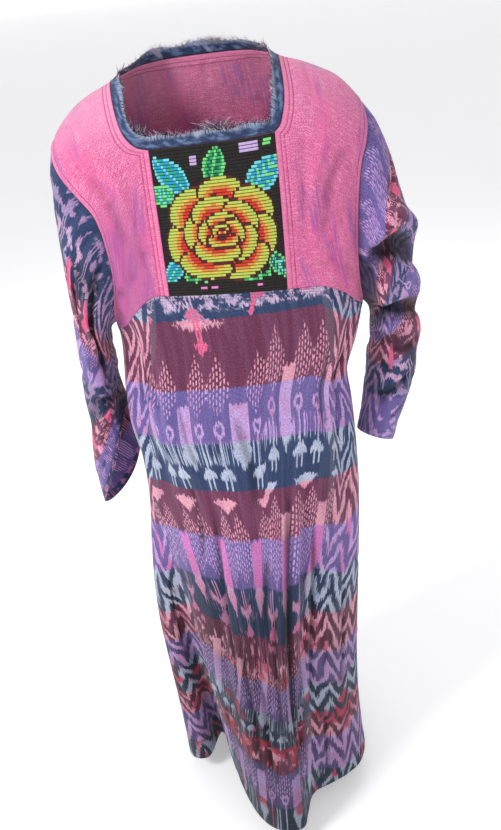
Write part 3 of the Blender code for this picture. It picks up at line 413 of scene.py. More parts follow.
# %% [markdown]
# ## A flat cut of cloth, draped by its own points
# `bmesh.ops.create_grid` makes the flat cut. Each of its points knows its row and column, so an array of
# draped points can be handed over in one go. A Solidify modifier then gives the cloth its thickness,
# inward from the outer face. The cloth's own lengths go into a UV map, in metres, because a weave follows
# the threads and not the room.


# %% From a flat grid to a draped sheet
def add_object(name, data):
    """A new object at the origin of the scene."""
    item = bpy.data.objects.new(name, data)
    bpy.context.scene.collection.objects.link(item)
    return item


def grid_cloth(name, points, normals, lengths, dye=None, closed=False, paint=None, push=None):
    """A sheet from rows and columns of points, facing its normals, with its lengths and other values."""
    rows, columns = points.shape[:2]
    bm = bmesh.new()
    bmesh.ops.create_grid(bm, x_segments=columns - 1, y_segments=rows - 1, size=0.5)
    bm.verts.ensure_lookup_table()
    flat = np.array([v.co[:2] for v in bm.verts]) + 0.5
    column = np.round(flat[:, 0] * (columns - 1)).astype(int)
    row = np.round(flat[:, 1] * (rows - 1)).astype(int)
    facing = (np.cross(np.gradient(points, axis=1), np.gradient(points, axis=0)) * normals).sum()
    if facing < 0.0:
        bmesh.ops.reverse_faces(bm, faces=bm.faces)
    mesh = bpy.data.meshes.new(name)
    bm.to_mesh(mesh)
    bm.free()
    mesh.vertices.foreach_set("co", points[row, column].astype(np.float32).ravel())
    corner = np.zeros(len(mesh.loops), int)
    mesh.loops.foreach_get("vertex_index", corner)
    uv = mesh.uv_layers.new(name="cloth")
    uv.data.foreach_set("uv", lengths[row, column][corner].astype(np.float32).ravel())
    if dye is not None:
        layer = mesh.attributes.new("dye", "FLOAT_VECTOR", "CORNER")
        layer.data.foreach_set("vector", dye[row, column][corner].astype(np.float32).ravel())
    if push is not None:
        layer = mesh.attributes.new("crease", "FLOAT", "CORNER")
        layer.data.foreach_set("value", push[row, column][corner].astype(np.float32))
    if paint is not None:
        cells = corner.reshape(-1, 4)
        colours = paint[row[cells].min(axis=1), column[cells].min(axis=1)]
        layer = mesh.attributes.new("yarn", "FLOAT_VECTOR", "CORNER")
        layer.data.foreach_set("vector", np.repeat(colours, 4, axis=0).astype(np.float32).ravel())
    if closed:
        weld(mesh)
    mesh.update()
    mesh.shade_smooth()
    return add_object(name, mesh)


def weld(mesh):
    """Joins points that lie on each other, so that a tube closes along its seam."""
    bm = bmesh.new()
    bm.from_mesh(mesh)
    bmesh.ops.remove_doubles(bm, verts=bm.verts, dist=0.00002)
    bm.to_mesh(mesh)
    bm.free()


def thicken(item, wall):
    """Gives a sheet its thickness, inward from its outer face."""
    modifier = item.modifiers.new("thickness", "SOLIDIFY")
    modifier.thickness = wall
    modifier.offset = -1.0
    return item


# %% [markdown]
# ## Creases
# A crease is a soft trough or ridge along a short path. Each path is placed one by one on the cloth, with
# its own width, depth and length, because evenly spaced creases look like corrugated iron. Every point of
# the sheet is pushed along its normal by how near it lies to the path, and the push fades towards both
# ends.


# %% Seams, hems and stitched furrows
SEAM_RISE = 0.0009
SEAM_FLAT = 0.0085
HEM_RISE = 0.0006
FURROW_DEPTH = 0.0011
FURROW_HALF = 0.0013
# Small wrinkles of the skirt's faces and of the sleeves: seed, how many and how deep
WRINKLES = {
    "front": (5, 110, 0.0016), "back": (6, 110, 0.0016), "right": (8, 70, 0.0016), "left": (9, 70, 0.0016),
}


# %% Pushing creases into a sheet
CREASE_STEPS = 18
# Shares of a crease's length where it has risen and where it starts to fade
CREASE_RISEN = 0.22
CREASE_FADES = 0.74


def crease_push(flat, creases, span=1.0):
    """How far each point of a sheet moves, from creases as (depth, half width, path) in its flat units."""
    push = np.zeros(flat.shape[:2])
    for depth, half, path in creases:
        line = smooth_line(np.array(path) * span, CREASE_STEPS)
        here = flat * span
        low, high = line.min(0) - 3 * half, line.max(0) + 3 * half
        near = np.all((here > low) & (here < high), axis=-1)
        if not near.any():
            continue
        spots = here[near]
        best = np.full(len(spots), 9.0)
        along = np.zeros(len(spots))
        for step in range(len(line) - 1):
            a, b = line[step], line[step + 1]
            run = b - a
            part = np.clip(((spots - a) @ run) / max(run @ run, 1e-12), 0.0, 1.0)
            far = np.linalg.norm(spots - a - part[:, None] * run, axis=1)
            closer = far < best
            best = np.where(closer, far, best)
            along = np.where(closer, (step + part) / (len(line) - 1), along)
        fade = eased(along, 0.0, CREASE_RISEN) * (1.0 - eased(along, CREASE_FADES, 1.0))
        push[near] += depth * fade * np.exp(-(best / half) ** 2)
    return push


def rumple(flat, seed, count, deep, span=1.0):
    """Small worn-in wrinkles: many short shallow creases at seeded places of a sheet."""
    draw = np.random.default_rng(seed)
    low, high = flat.reshape(-1, 2).min(0), flat.reshape(-1, 2).max(0)
    creases = []
    for _ in range(count):
        middle = low + (high - low) * draw.random(2)
        turn = draw.normal(1.2, 0.7) * draw.choice([-1.0, 1.0])
        reach = draw.uniform(0.018, 0.05) * np.array([math.cos(turn), math.sin(turn)]) / span
        bend = draw.normal(0.0, 0.006, 2) / span
        path = [middle - reach, middle + bend, middle + reach]
        depth = deep * draw.uniform(0.4, 1.0) * draw.choice([-1.0, -1.0, 1.0])
        creases.append((depth, draw.uniform(0.004, 0.008), path))
    return crease_push(flat, creases, span)


def row_lengths(points):
    """Lengths along the cloth in metres: across each row from its middle, and up each column."""
    across = running(points, axis=1)
    across -= across[:, points.shape[1] // 2][:, None]
    up = running(points)
    return np.stack([across, up], axis=-1)


def margins(points):
    """How far each point lies from the left, right, lower and upper edge of its panel, along the cloth."""
    across = running(points, axis=1)
    up = running(points)
    return across, across[:, -1:] - across, up, up[-1:] - up


def furrow(gap, rows):
    """How deep the cloth is drawn down by rows of stitching at distances from an edge."""
    deep = np.zeros(gap.shape)
    for row in rows:
        deep += np.exp(-((gap - row) / FURROW_HALF) ** 2)
    return deep


def sheet_normals(points, outward):
    """Normals of a sheet from its neighbouring points, on the side of the outward hints."""
    run = np.gradient(points, axis=1)
    up = np.gradient(points, axis=0)
    normal = unit(np.cross(run, up))
    return np.where((normal * outward).sum(-1, keepdims=True) < 0.0, -normal, normal)


# %% [markdown]
# ## How the ikat hangs
# The ikat is dyed in bands, navy, maroon and purple, and the figures stand in columns along the warp. On
# the body the threads lean and gather, so three short tables say where they hang: the places of the five
# middle columns, the line where the zigzag sides begin, and how far the bands sag. Each point of a sheet
# then carries its distance across the warp, its band number and its distance into the zigzag side.

# %% Tables of the ikat
COLUMN_STEP = 0.078
# Height, then the places of the five columns of blocks from right to left
HANG = [
    (-1.376, -0.36, -0.18, 0.0, 0.2, 0.38),
    (-1.21, -0.33, -0.16, 0.0, 0.2, 0.39),
    (-1.04, -0.27, -0.09, 0.045, 0.18, 0.33),
    (-0.95, -0.26, -0.06, 0.03, 0.165, 0.3),
    (-0.77, -0.45, -0.193, 0.005, 0.148, 0.377),
    (-0.65, -0.56, -0.28, -0.02, 0.155, 0.43),
    (-0.5, -0.57, -0.275, -0.002, 0.198, 0.5),
    (-0.3, -0.58, -0.31, -0.05, 0.18, 0.43),
]
# Height, then the places where the zigzags begin at the right and at the left
ZIGZAG_EDGE = [
    (-1.376, -0.37, 0.41), (-1.22, -0.375, 0.413), (-1.1, -0.392, 0.365), (-0.96, -0.468, 0.31),
    (-0.876, -0.585, 0.34), (-0.8, -0.61, 0.4), (-0.75, -0.65, 0.46), (-0.7, -0.79, 0.5),
    (-0.6, -0.72, 0.53), (-0.52, -0.647, 0.52), (-0.44, -0.53, 0.47), (-0.34, -0.41, 0.43),
    (-0.3, -0.4, 0.42),
]
# Depth down the cloth, then the number of the band there: maroon, purple and navy repeat in threes
BAND_TABLE = [
    (0.15, 1.0), (0.235, 2.0), (0.326, 3.0), (0.448, 4.0), (0.548, 5.0), (0.64, 6.0), (0.735, 7.0),
    (0.825, 8.0), (0.915, 9.0), (1.0, 10.0), (1.075, 11.0), (1.145, 12.0), (1.205, 13.0),
    (1.29, 14.0), (1.4, 15.0),
]
# Height, then how far the bands hang lower at places -0.8, -0.35, 0.13, 0.37, 0.6 and 0.9
SAG_PLACES = [-0.8, -0.35, 0.13, 0.37, 0.6, 0.9]
SAG = [
    (-1.376, 0.03, 0.0, 0.03, 0.0, 0.06, 0.06),
    (-1.2, 0.03, 0.0, 0.035, 0.0, 0.05, 0.05),
    (-1.05, 0.03, 0.0, 0.05, 0.0, 0.045, 0.05),
    (-0.93, 0.045, 0.0, 0.03, 0.0, 0.04, 0.04),
    (-0.83, 0.035, 0.0, 0.012, 0.0, 0.04, 0.04),
    (-0.7, 0.01, 0.0, 0.0, 0.0, 0.02, 0.02),
    (-0.3, 0.0, 0.0, 0.0, 0.0, 0.05, 0.05),
]


def ikat_dye(face, place, z, across):
    """Distance across the warp, band number and distance into the zigzag side, for each point of a skirt."""
    thread = np.zeros(place.shape)
    zigzag = np.zeros(place.shape)
    sag = np.zeros(place.shape)
    numbers = np.arange(-2, 3) * COLUMN_STEP
    for row in range(len(place)):
        height = float(z[row].mean())
        if face == "front":
            stops = np.array([table_value(HANG, height, column) for column in range(1, 6)])
            ends = np.interp(stops[[0, -1]], place[row], across[row])
            inner = np.interp(place[row], stops, numbers)
            beyond = np.where(place[row] > stops[-1], numbers[-1] + across[row] - ends[1], inner)
            thread[row] = np.where(place[row] < stops[0], numbers[0] + across[row] - ends[0], beyond)
            sides = [float(table_value(ZIGZAG_EDGE, height, column)) for column in (1, 2)]
            lows = [table_value(SAG, height, column) for column in range(1, 7)]
            sag[row] = np.interp(place[row], SAG_PLACES, lows)
        else:
            thread[row] = across[row]
            sides = [-0.62, 0.6]
            sag[row] = 0.012 * np.sin(place[row] * 5.0 + 0.6)
        edges = np.interp(sides, place[row], across[row])
        zigzag[row] = np.maximum(edges[0] - across[row], across[row] - edges[1])
    band = np.interp(-z - sag, [row[0] for row in BAND_TABLE], [row[1] for row in BAND_TABLE])
    return np.stack([thread, band, zigzag], axis=-1)


# %% The skirt, in front and behind
SKIRT_COLUMNS = 216
SKIRT_ROWS = 208
# Creases of each face: rise (a fall when below zero), half width in metres, path as place and height
SKIRT_CREASES = {
    "front": [
        (-0.007, 0.0042, [(0.1, -0.84), (0.105, -0.98), (0.13, -1.1), (0.17, -1.24)]),
        (-0.006, 0.004, [(-0.06, -0.9), (-0.05, -1.02), (-0.01, -1.14), (0.0, -1.3)]),
        (-0.0055, 0.004, [(0.24, -0.92), (0.27, -1.04), (0.3, -1.16), (0.35, -1.3)]),
        (0.004, 0.006, [(0.02, -0.9), (0.04, -1.04), (0.08, -1.16), (0.11, -1.3)]),
        (0.005, 0.0075, [(-0.44, -0.36), (-0.47, -0.44), (-0.46, -0.54), (-0.44, -0.62)]),
        (-0.0045, 0.006, [(-0.51, -0.38), (-0.54, -0.46), (-0.53, -0.56)]),
        (0.005, 0.0075, [(0.47, -0.37), (0.49, -0.46), (0.48, -0.58)]),
        (-0.0045, 0.006, [(0.41, -0.38), (0.43, -0.47), (0.42, -0.58)]),
        (-0.012, 0.0072, [(0.165, -0.6), (0.172, -0.78), (0.19, -0.98), (0.235, -1.16), (0.34, -1.34)]),
        (0.0045, 0.008, [(0.215, -0.62), (0.225, -0.78), (0.25, -0.98), (0.295, -1.16)]),
        (-0.006, 0.0043, [(0.055, -0.76), (0.05, -0.88), (0.075, -0.99)]),
        (-0.006, 0.0051, [(-0.24, -0.66), (-0.2, -0.82), (-0.13, -1.0), (-0.12, -1.14)]),
        (0.0028, 0.007, [(-0.2, -0.7), (-0.16, -0.84), (-0.09, -1.0)]),
        (-0.0054, 0.0051, [(-0.5, -0.37), (-0.47, -0.44), (-0.42, -0.5)]),
        (-0.0045, 0.0043, [(-0.62, -0.4), (-0.56, -0.47), (-0.5, -0.55)]),
        (0.0026, 0.006, [(-0.56, -0.37), (-0.51, -0.44), (-0.45, -0.51)]),
        (-0.0039, 0.0038, [(-0.7, -0.43), (-0.63, -0.49), (-0.58, -0.52)]),
        (-0.0054, 0.0055, [(0.58, -0.37), (0.54, -0.45), (0.5, -0.56)]),
        (-0.0045, 0.0051, [(0.72, -0.41), (0.65, -0.5), (0.6, -0.61)]),
        (0.0026, 0.006, [(0.65, -0.39), (0.6, -0.47), (0.56, -0.56)]),
        (-0.0045, 0.0051, [(-0.36, -0.6), (-0.33, -0.7), (-0.32, -0.82)]),
        (-0.0072, 0.0051, [(0.34, -0.7), (0.36, -0.84), (0.38, -1.0), (0.4, -1.15)]),
        (0.0034, 0.007, [(0.42, -0.74), (0.45, -0.9), (0.47, -1.05)]),
        (-0.006, 0.0059, [(-0.5, -0.93), (-0.47, -1.08), (-0.46, -1.26)]),
        (0.003, 0.007, [(-0.41, -0.96), (-0.39, -1.1), (-0.38, -1.22)]),
        (-0.0048, 0.0047, [(-0.02, -0.48), (0.0, -0.58), (0.01, -0.7)]),
        (-0.0039, 0.0043, [(-0.3, -0.46), (-0.28, -0.55), (-0.27, -0.62)]),
        (-0.0039, 0.0031, [(-0.38, -0.714), (-0.33, -0.722), (-0.28, -0.716)]),
        (-0.0039, 0.0031, [(-0.37, -0.736), (-0.32, -0.742), (-0.26, -0.737)]),
        (-0.0051, 0.0051, [(0.6, -0.86), (0.64, -1.0), (0.66, -1.16)]),
        (-0.0051, 0.0051, [(-0.68, -0.84), (-0.66, -0.98), (-0.68, -1.12)]),
        (-0.0066, 0.0051, [(0.02, -1.02), (0.05, -1.14), (0.07, -1.28)]),
        (-0.0045, 0.0043, [(-0.26, -1.12), (-0.27, -1.22), (-0.28, -1.32)]),
        (-0.0054, 0.0047, [(0.5, -1.16), (0.52, -1.25), (0.53, -1.34)]),
    ],
    "back": [
        (-0.0075, 0.0068, [(-0.52, -0.4), (-0.5, -0.62), (-0.47, -0.88), (-0.46, -1.12)]),
        (0.0036, 0.008, [(-0.43, -0.5), (-0.41, -0.7), (-0.39, -0.94)]),
        (-0.0075, 0.0064, [(0.04, -0.44), (0.02, -0.66), (0.03, -0.9), (0.05, -1.16)]),
        (0.0036, 0.008, [(0.12, -0.52), (0.11, -0.72), (0.12, -0.92)]),
        (-0.0063, 0.0059, [(0.56, -0.48), (0.54, -0.7), (0.5, -0.94), (0.5, -1.18)]),
        (-0.0045, 0.0051, [(-0.2, -0.6), (-0.22, -0.76), (-0.2, -0.92)]),
        (-0.0045, 0.0051, [(0.28, -0.7), (0.3, -0.86), (0.29, -1.0)]),
        (-0.0042, 0.0047, [(-0.66, -0.38), (-0.58, -0.46), (-0.52, -0.56)]),
        (-0.0042, 0.0047, [(0.68, -0.38), (0.6, -0.46), (0.54, -0.55)]),
        (-0.0042, 0.0051, [(-0.7, -0.8), (-0.68, -0.96), (-0.7, -1.1)]),
        (-0.0037, 0.0043, [(0.72, -0.84), (0.7, -0.98), (0.72, -1.14)]),
        (-0.005, 0.0051, [(-0.32, -1.04), (-0.33, -1.18), (-0.34, -1.32)]),
        (-0.0045, 0.0051, [(0.18, -1.1), (0.19, -1.22), (0.19, -1.33)]),
    ],
}
SKIRT_SEAM_ROWS = (0.0032, 0.008)
HEM_FOLD = 0.018


def skirt(face):
    """One skirt panel, with its creases, lengths and dye."""
    top_line = SEAM_FRONT_LINE if face == "front" else SEAM_BACK_LINE
    top = seam_edge(top_line, PIT_RIGHT, PIT_LEFT, SKIRT_COLUMNS)
    share = np.linspace(0.0, 1.0, SKIRT_ROWS + 1)[:, None]
    place = np.broadcast_to(np.linspace(-1.0, 1.0, SKIRT_COLUMNS + 1), (SKIRT_ROWS + 1, SKIRT_COLUMNS + 1))
    z = HEM_Z + (top[:, 1][None] - SEAM_GAP / 2 - HEM_Z) * share
    points = body(face, place, z)
    lengths = row_lengths(points)
    across = lengths[..., 0]
    normals = sheet_normals(points, body_normal(face, place, z))
    half_round = (across[:, -1] - across[:, 0])[:, None] / 2
    flat = np.stack([place * half_round, z], axis=-1)
    creases = []
    for rise, half, path in SKIRT_CREASES[face]:
        sizes = np.interp([spot[1] for spot in path], z[:, 0], half_round[:, 0])
        creases.append((rise, half, [(spot[0] * size, spot[1]) for spot, size in zip(path, sizes)]))
    push = crease_push(flat, creases)
    push += rumple(flat, *WRINKLES[face])
    left, right, low, high = margins(points)
    push *= eased(np.minimum(left, right), 0.0, 0.018) * eased(high, 0.004, 0.03)
    push += SEAM_RISE * 0.7 * np.exp(-(high / SEAM_FLAT) ** 4) - FURROW_DEPTH * furrow(high, SKIRT_SEAM_ROWS)
    push += HEM_RISE * (1.0 - eased(low, HEM_FOLD, HEM_FOLD + 0.003))
    push -= FURROW_DEPTH * furrow(low, (HEM_FOLD,))
    print("skirt", face, "creases, mm:", np.round([push.min() * 1000, push.max() * 1000], 1))
    points = points + normals * push[..., None]
    dye = ikat_dye(face, place, z, across)
    lengths = np.stack([dye[..., 0], z], axis=-1)
    item = grid_cloth("skirt_" + face + "_cloth", points, normals, lengths, dye, push=push)
    return thicken(item, WALL_IKAT), points, normals


skirt_front, *skirt_front_form = skirt("front")
skirt_back, *skirt_back_form = skirt("back")
print("skirt panels:", [len(item.data.polygons) for item in (skirt_front, skirt_back)], "faces")

# %% [markdown]
# ## The yoke and the bib
# The yoke is four panels: two in front, one behind, and the brocade bib set between the front ones. Each
# is the patch between its seams.

# %% Seams and creases of the yoke
NECK_ROWS = (0.0085, 0.015)
HOLE_ROWS = (0.009,)
# Creases: rise (a fall when below zero), half width in metres, path across and in height
CREASES_YOKE_RIGHT = [
    (-0.003, 0.01, [(-0.2, -0.07), (-0.165, -0.11), (-0.142, -0.165), (-0.132, -0.225)]),
    (0.0022, 0.009, [(-0.172, -0.06), (-0.14, -0.1), (-0.12, -0.16)]),
    (-0.002, 0.008, [(-0.13, -0.05), (-0.118, -0.11), (-0.112, -0.18), (-0.11, -0.25)]),
    (-0.0026, 0.009, [(-0.168, -0.3), (-0.14, -0.262), (-0.118, -0.24)]),
    (0.002, 0.008, [(-0.16, -0.18), (-0.15, -0.24), (-0.14, -0.29)]),
    (-0.0014, 0.006, [(-0.225, -0.05), (-0.2, -0.03), (-0.165, -0.02)]),
]
CREASES_YOKE_LEFT = [
    (-0.003, 0.01, [(0.226, -0.08), (0.196, -0.12), (0.178, -0.18), (0.17, -0.24)]),
    (0.0022, 0.009, [(0.2, -0.05), (0.17, -0.1), (0.152, -0.17)]),
    (-0.002, 0.008, [(0.15, -0.04), (0.146, -0.11), (0.142, -0.19), (0.14, -0.26)]),
    (-0.0026, 0.01, [(0.224, -0.3), (0.196, -0.268), (0.16, -0.25)]),
    (0.002, 0.009, [(0.215, -0.19), (0.2, -0.24), (0.19, -0.3)]),
    (-0.0014, 0.006, [(0.236, -0.05), (0.21, -0.024), (0.17, -0.006)]),
]
CREASES_YOKE_BACK = [
    (-0.0032, 0.011, [(-0.19, -0.11), (-0.13, -0.14), (-0.07, -0.18), (-0.03, -0.24)]),
    (0.0024, 0.01, [(-0.15, -0.07), (-0.1, -0.12), (-0.06, -0.17)]),
    (-0.003, 0.012, [(0.205, -0.12), (0.14, -0.15), (0.08, -0.2), (0.05, -0.26)]),
    (0.0022, 0.01, [(0.16, -0.07), (0.12, -0.12), (0.08, -0.18)]),
    (-0.0022, 0.009, [(-0.02, 0.01), (-0.01, -0.07), (0.01, -0.15)]),
    (-0.002, 0.009, [(-0.18, -0.24), (-0.12, -0.25), (-0.06, -0.28)]),
    (0.0018, 0.008, [(0.19, -0.23), (0.14, -0.25), (0.1, -0.285)]),
]

# %% Cutting the yoke panels
FINE = 8
COLUMNS_RIGHT = 14 * FINE
COLUMNS_MIDDLE = 10 * FINE
COLUMNS_LEFT = 12 * FINE
ROWS_BIB = 7 * FINE
ROWS_NECK = 5 * FINE
ROWS_YOKE = ROWS_BIB + ROWS_NECK

seam_right = seam_edge(SEAM_FRONT_LINE, PIT_RIGHT, BIB_RIGHT[0], COLUMNS_RIGHT)
seam_left = seam_edge(SEAM_FRONT_LINE, BIB_LEFT[0], PIT_LEFT, COLUMNS_LEFT)
seam_behind = seam_edge(SEAM_BACK_LINE, PIT_RIGHT, PIT_LEFT, COLUMNS_RIGHT + COLUMNS_MIDDLE + COLUMNS_LEFT)
holes = {key: edge(line, ROWS_YOKE) for key, line in ARMHOLES.items()}
bib_right = edge(BIB_RIGHT, ROWS_BIB)
bib_left = edge(BIB_LEFT, ROWS_BIB)
neck_right = edge(NECK_RIGHT, ROWS_NECK, 1.5)
neck_left = edge(NECK_LEFT, ROWS_NECK, 1.5)
neck_bib = edge(NECK_BIB, COLUMNS_MIDDLE)
neck_back = edge(NECK_BACK, COLUMNS_MIDDLE)
shoulder_right = shoulder_edge(SHOULDER_TIP["right"], -NECK_SIDE, COLUMNS_RIGHT)
shoulder_left = shoulder_edge(NECK_SIDE, SHOULDER_TIP["left"], COLUMNS_LEFT)


def hold_back(points, amount):
    """Pulls a panel's four edges in by half a seam gap."""
    points = points.copy()
    first = points.copy()
    for line, inner in ((0, 1), (-1, -2)):
        points[line] += unit(first[inner] - first[line]) * amount
        points[:, line] += unit(first[:, inner] - first[:, line]) * amount
    return points


def yoke_panel(name, face, net, wall, creases, inner=None):
    """A panel laid on the body from its net of distances across and heights, with its seams and creases."""
    points = hold_back(on_body(face, net), SEAM_GAP / 2)
    normals = on_body(face, net, body_normal)
    left, right, low, high = margins(points)
    if inner is None:
        hole, neck = np.minimum(left, right), high
    else:
        hole, neck = (left, right) if inner == "right" else (right, left)
    seam = np.minimum(low, high)
    rise = SEAM_RISE * np.exp(-(np.minimum(np.minimum(hole, neck), seam) / SEAM_FLAT) ** 4)
    rise -= FURROW_DEPTH * (furrow(neck, NECK_ROWS) + furrow(hole, HOLE_ROWS))
    edge_calm = eased(np.minimum(np.minimum(hole, neck), seam), 0.0, 0.02)
    worn = rumple(net, len(name), 60 if face == "back" else 34, 0.0015)
    rise += (crease_push(net, creases) + worn) * edge_calm
    points = points + normals * rise[..., None]
    dye = np.stack([neck, hole, seam], axis=-1)
    item = grid_cloth(name, points, normals, row_lengths(points), dye, push=rise)
    return thicken(item, wall), points, normals


net_right = patch(seam_right, shoulder_right, holes["right", "front"][::-1],
                  np.vstack([bib_right, neck_right[1:]]))
net_left = patch(seam_left, shoulder_left, np.vstack([bib_left, neck_left[1:]]), holes["left", "front"][::-1])
top_behind = np.vstack([shoulder_right, neck_back[1:-1], shoulder_left])
net_back = patch(seam_behind, top_behind, holes["right", "back"][::-1], holes["left", "back"][::-1])
yoke_right, *yoke_right_form = yoke_panel("yoke_front_right_cloth", "front", net_right, WALL_YOKE,
                                          CREASES_YOKE_RIGHT, "right")
yoke_left, *yoke_left_form = yoke_panel("yoke_front_left_cloth", "front", net_left, WALL_YOKE,
                                        CREASES_YOKE_LEFT, "left")
yoke_back, *yoke_back_form = yoke_panel("yoke_back_cloth", "back", net_back, WALL_YOKE, CREASES_YOKE_BACK)
print("yoke:", [item.name for item in (yoke_right, yoke_left, yoke_back)])

# %% [markdown]
# ## The brocade bib
# The real bib is laid thread by thread: bundles of coloured yarn run across, row under row, so a flower
# is built from short level stitches. That could be a picture on a flat sheet, but the ribs catch the
# light. So every row of yarn is a raised rib of the sheet itself, and a stitch takes one colour. The
# flower is a plain rose with leaves, drawn here petal by petal: each petal is an oval laid over the ones
# behind it.

# %% Colours of the yarns
BIB_ROWS = 48
BIB_STITCHES = 112
BIB_WIDE = 0.184
BIB_TALL = 0.226
RIB_POINTS = 4
RIB_HEIGHT = 0.0009
YARN = {
    "black": (24, 20, 20), "edge": (188, 204, 88), "yellow": (212, 192, 74), "orange": (218, 134, 64),
    "red": (210, 50, 30), "deep": (84, 22, 26), "turquoise": (26, 150, 192), "pale_blue": (110, 214, 222),
    "green": (40, 170, 96), "pale_green": (120, 218, 128), "dark_green": (12, 96, 76),
    "lilac": (196, 168, 220), "pink": (232, 130, 190),
}


def srgb(red, green, blue):
    """A colour given as 0 to 255 screen values, as the linear values that Blender wants."""
    parts = [value / 255.0 for value in (red, green, blue)]
    return (*[part / 12.92 if part <= 0.04045 else ((part + 0.055) / 1.055) ** 2.4 for part in parts], 1.0)


# Petals from the outside in: centre, half length, half width and the turn of the long side in degrees
PETALS = [
    (-0.056, 0.086, 0.036, 0.026, 80), (-0.042, 0.136, 0.036, 0.026, 40), (0.006, 0.156, 0.034, 0.023, -4),
    (0.05, 0.132, 0.034, 0.025, -46), (0.058, 0.086, 0.034, 0.024, -96), (0.034, 0.05, 0.038, 0.022, -146),
    (-0.026, 0.048, 0.04, 0.022, 166), (-0.03, 0.102, 0.032, 0.023, 74), (-0.01, 0.13, 0.031, 0.021, 16),
    (0.03, 0.116, 0.03, 0.021, -52), (0.028, 0.078, 0.03, 0.02, -122), (-0.008, 0.07, 0.033, 0.02, 170),
    (-0.014, 0.1, 0.022, 0.017, 62), (0.004, 0.113, 0.022, 0.014, -4), (0.018, 0.096, 0.02, 0.014, -78),
    (0.002, 0.084, 0.022, 0.012, 176), (0.001, 0.099, 0.013, 0.011, 20), (0.003, 0.096, 0.0065, 0.006, 0),
]
# Leaves: foot, tip, half width, and the yarns of their rim, body and veins
LEAVES = [
    ((-0.04, 0.158), (-0.088, 0.214), 0.019, "pale_blue", "turquoise", "green"),
    ((-0.062, 0.15), (-0.1, 0.168), 0.016, "pale_green", "green", "pale_blue"),
    ((-0.008, 0.166), (0.006, 0.222), 0.016, "pale_green", "green", "dark_green"),
    ((0.04, 0.148), (0.096, 0.196), 0.021, "pale_blue", "turquoise", "pale_green"),
    ((0.066, 0.062), (0.094, 0.02), 0.013, "pale_green", "dark_green", "pale_blue"),
    ((-0.058, 0.062), (-0.092, 0.022), 0.014, "pale_blue", "turquoise", "green"),
]
# Small things between them: centre, half width, half height, yarn
SQUARES = [
    ((0.052, 0.214), 0.014, 0.006, "lilac"), ((0.079, 0.217), 0.006, 0.004, "pale_green"),
    ((-0.03, 0.012), 0.0045, 0.0034, "pink"), ((-0.014, 0.013), 0.0045, 0.0034, "pink"),
    ((0.046, 0.012), 0.0045, 0.0034, "pink"), ((-0.03, 0.205), 0.005, 0.006, "lilac"),
]
VINES = [[(-0.058, 0.03), (-0.03, 0.024), (0.002, 0.03), (0.034, 0.022), (0.064, 0.03)]]


# %% Laying the yarns
def lay_yarn(picture, where, yarn, share=1.0):
    """Lays one yarn over part of the brocade."""
    colour = np.array(srgb(*YARN[yarn])[:3])
    picture[where] = picture[where] * (1.0 - share) + colour * share


def petal(picture, x, y, middle, long, wide, turn):
    """One petal: a dark outline, a light edge, then warmer yarns towards its foot."""
    angle = math.radians(turn)
    along = (x - middle[0]) * math.cos(angle) + (y - middle[1]) * math.sin(angle)
    out = -(x - middle[0]) * math.sin(angle) + (y - middle[1]) * math.cos(angle)
    inside = np.hypot(along / long, out / wide)
    near_edge = (1.0 - inside) * wide
    depth = np.hypot(along / long * 0.8, (out + wide * 0.75) / (1.75 * wide))
    lay_yarn(picture, inside < 1.0, "edge")
    for limit, yarn in ((0.78, "yellow"), (0.66, "orange"), (0.52, "red"), (0.32, "deep")):
        lay_yarn(picture, (inside < 1.0) & (depth < limit), yarn)
    lay_yarn(picture, (near_edge > -0.0012) & (near_edge < 0.0012), "deep")


def leaf(picture, x, y, foot, tip, wide, rim, body, veins):
    """One pointed leaf with a lighter rim and slanting veins."""
    run = np.array(tip) - np.array(foot)
    size = math.hypot(*run)
    run = run / size
    along = ((x - foot[0]) * run[0] + (y - foot[1]) * run[1]) / size
    out = -(x - foot[0]) * run[1] + (y - foot[1]) * run[0]
    half = wide * np.sin(np.clip(along, 0.0, 1.0) * math.pi) ** 0.75
    inside = (np.abs(out) < half) & (along > 0.0) & (along < 1.0)
    lay_yarn(picture, inside, rim)
    lay_yarn(picture, inside & (np.abs(out) < half * 0.74), body)
    slant = (along * 6.0 - np.abs(out) / wide * 1.6) % 1.0
    lay_yarn(picture, inside & (np.abs(out) < half * 0.62) & (slant < 0.42), veins)
    lay_yarn(picture, inside & (np.abs(out) < 0.0012), rim)


def brocade_yarns(x, y):
    """The colour of every stitch of the bib at its distance across from the middle and up from the seam."""
    picture = np.zeros((*x.shape, 3))
    lay_yarn(picture, np.ones(x.shape, bool), "black")
    for spots in VINES:
        line = smooth_line(spots, 60)
        gap = np.hypot(x[..., None] - line[:, 0], (y[..., None] - line[:, 1]) * 0.8).min(axis=-1)
        lay_yarn(picture, gap < 0.002, "green")
        lay_yarn(picture, (gap < 0.0044) & (np.sin(x * 420.0) > 0.55), "pale_green")
    for foot, tip, wide, rim, body, veins in LEAVES:
        leaf(picture, x, y, foot, tip, wide, rim, body, veins)
    for middle, wide, tall, yarn in SQUARES:
        lay_yarn(picture, (np.abs(x - middle[0]) < wide) & (np.abs(y - middle[1]) < tall), yarn)
    for *middle, long, wide, turn in PETALS:
        petal(picture, x, y, middle, long, wide, turn)
    return picture


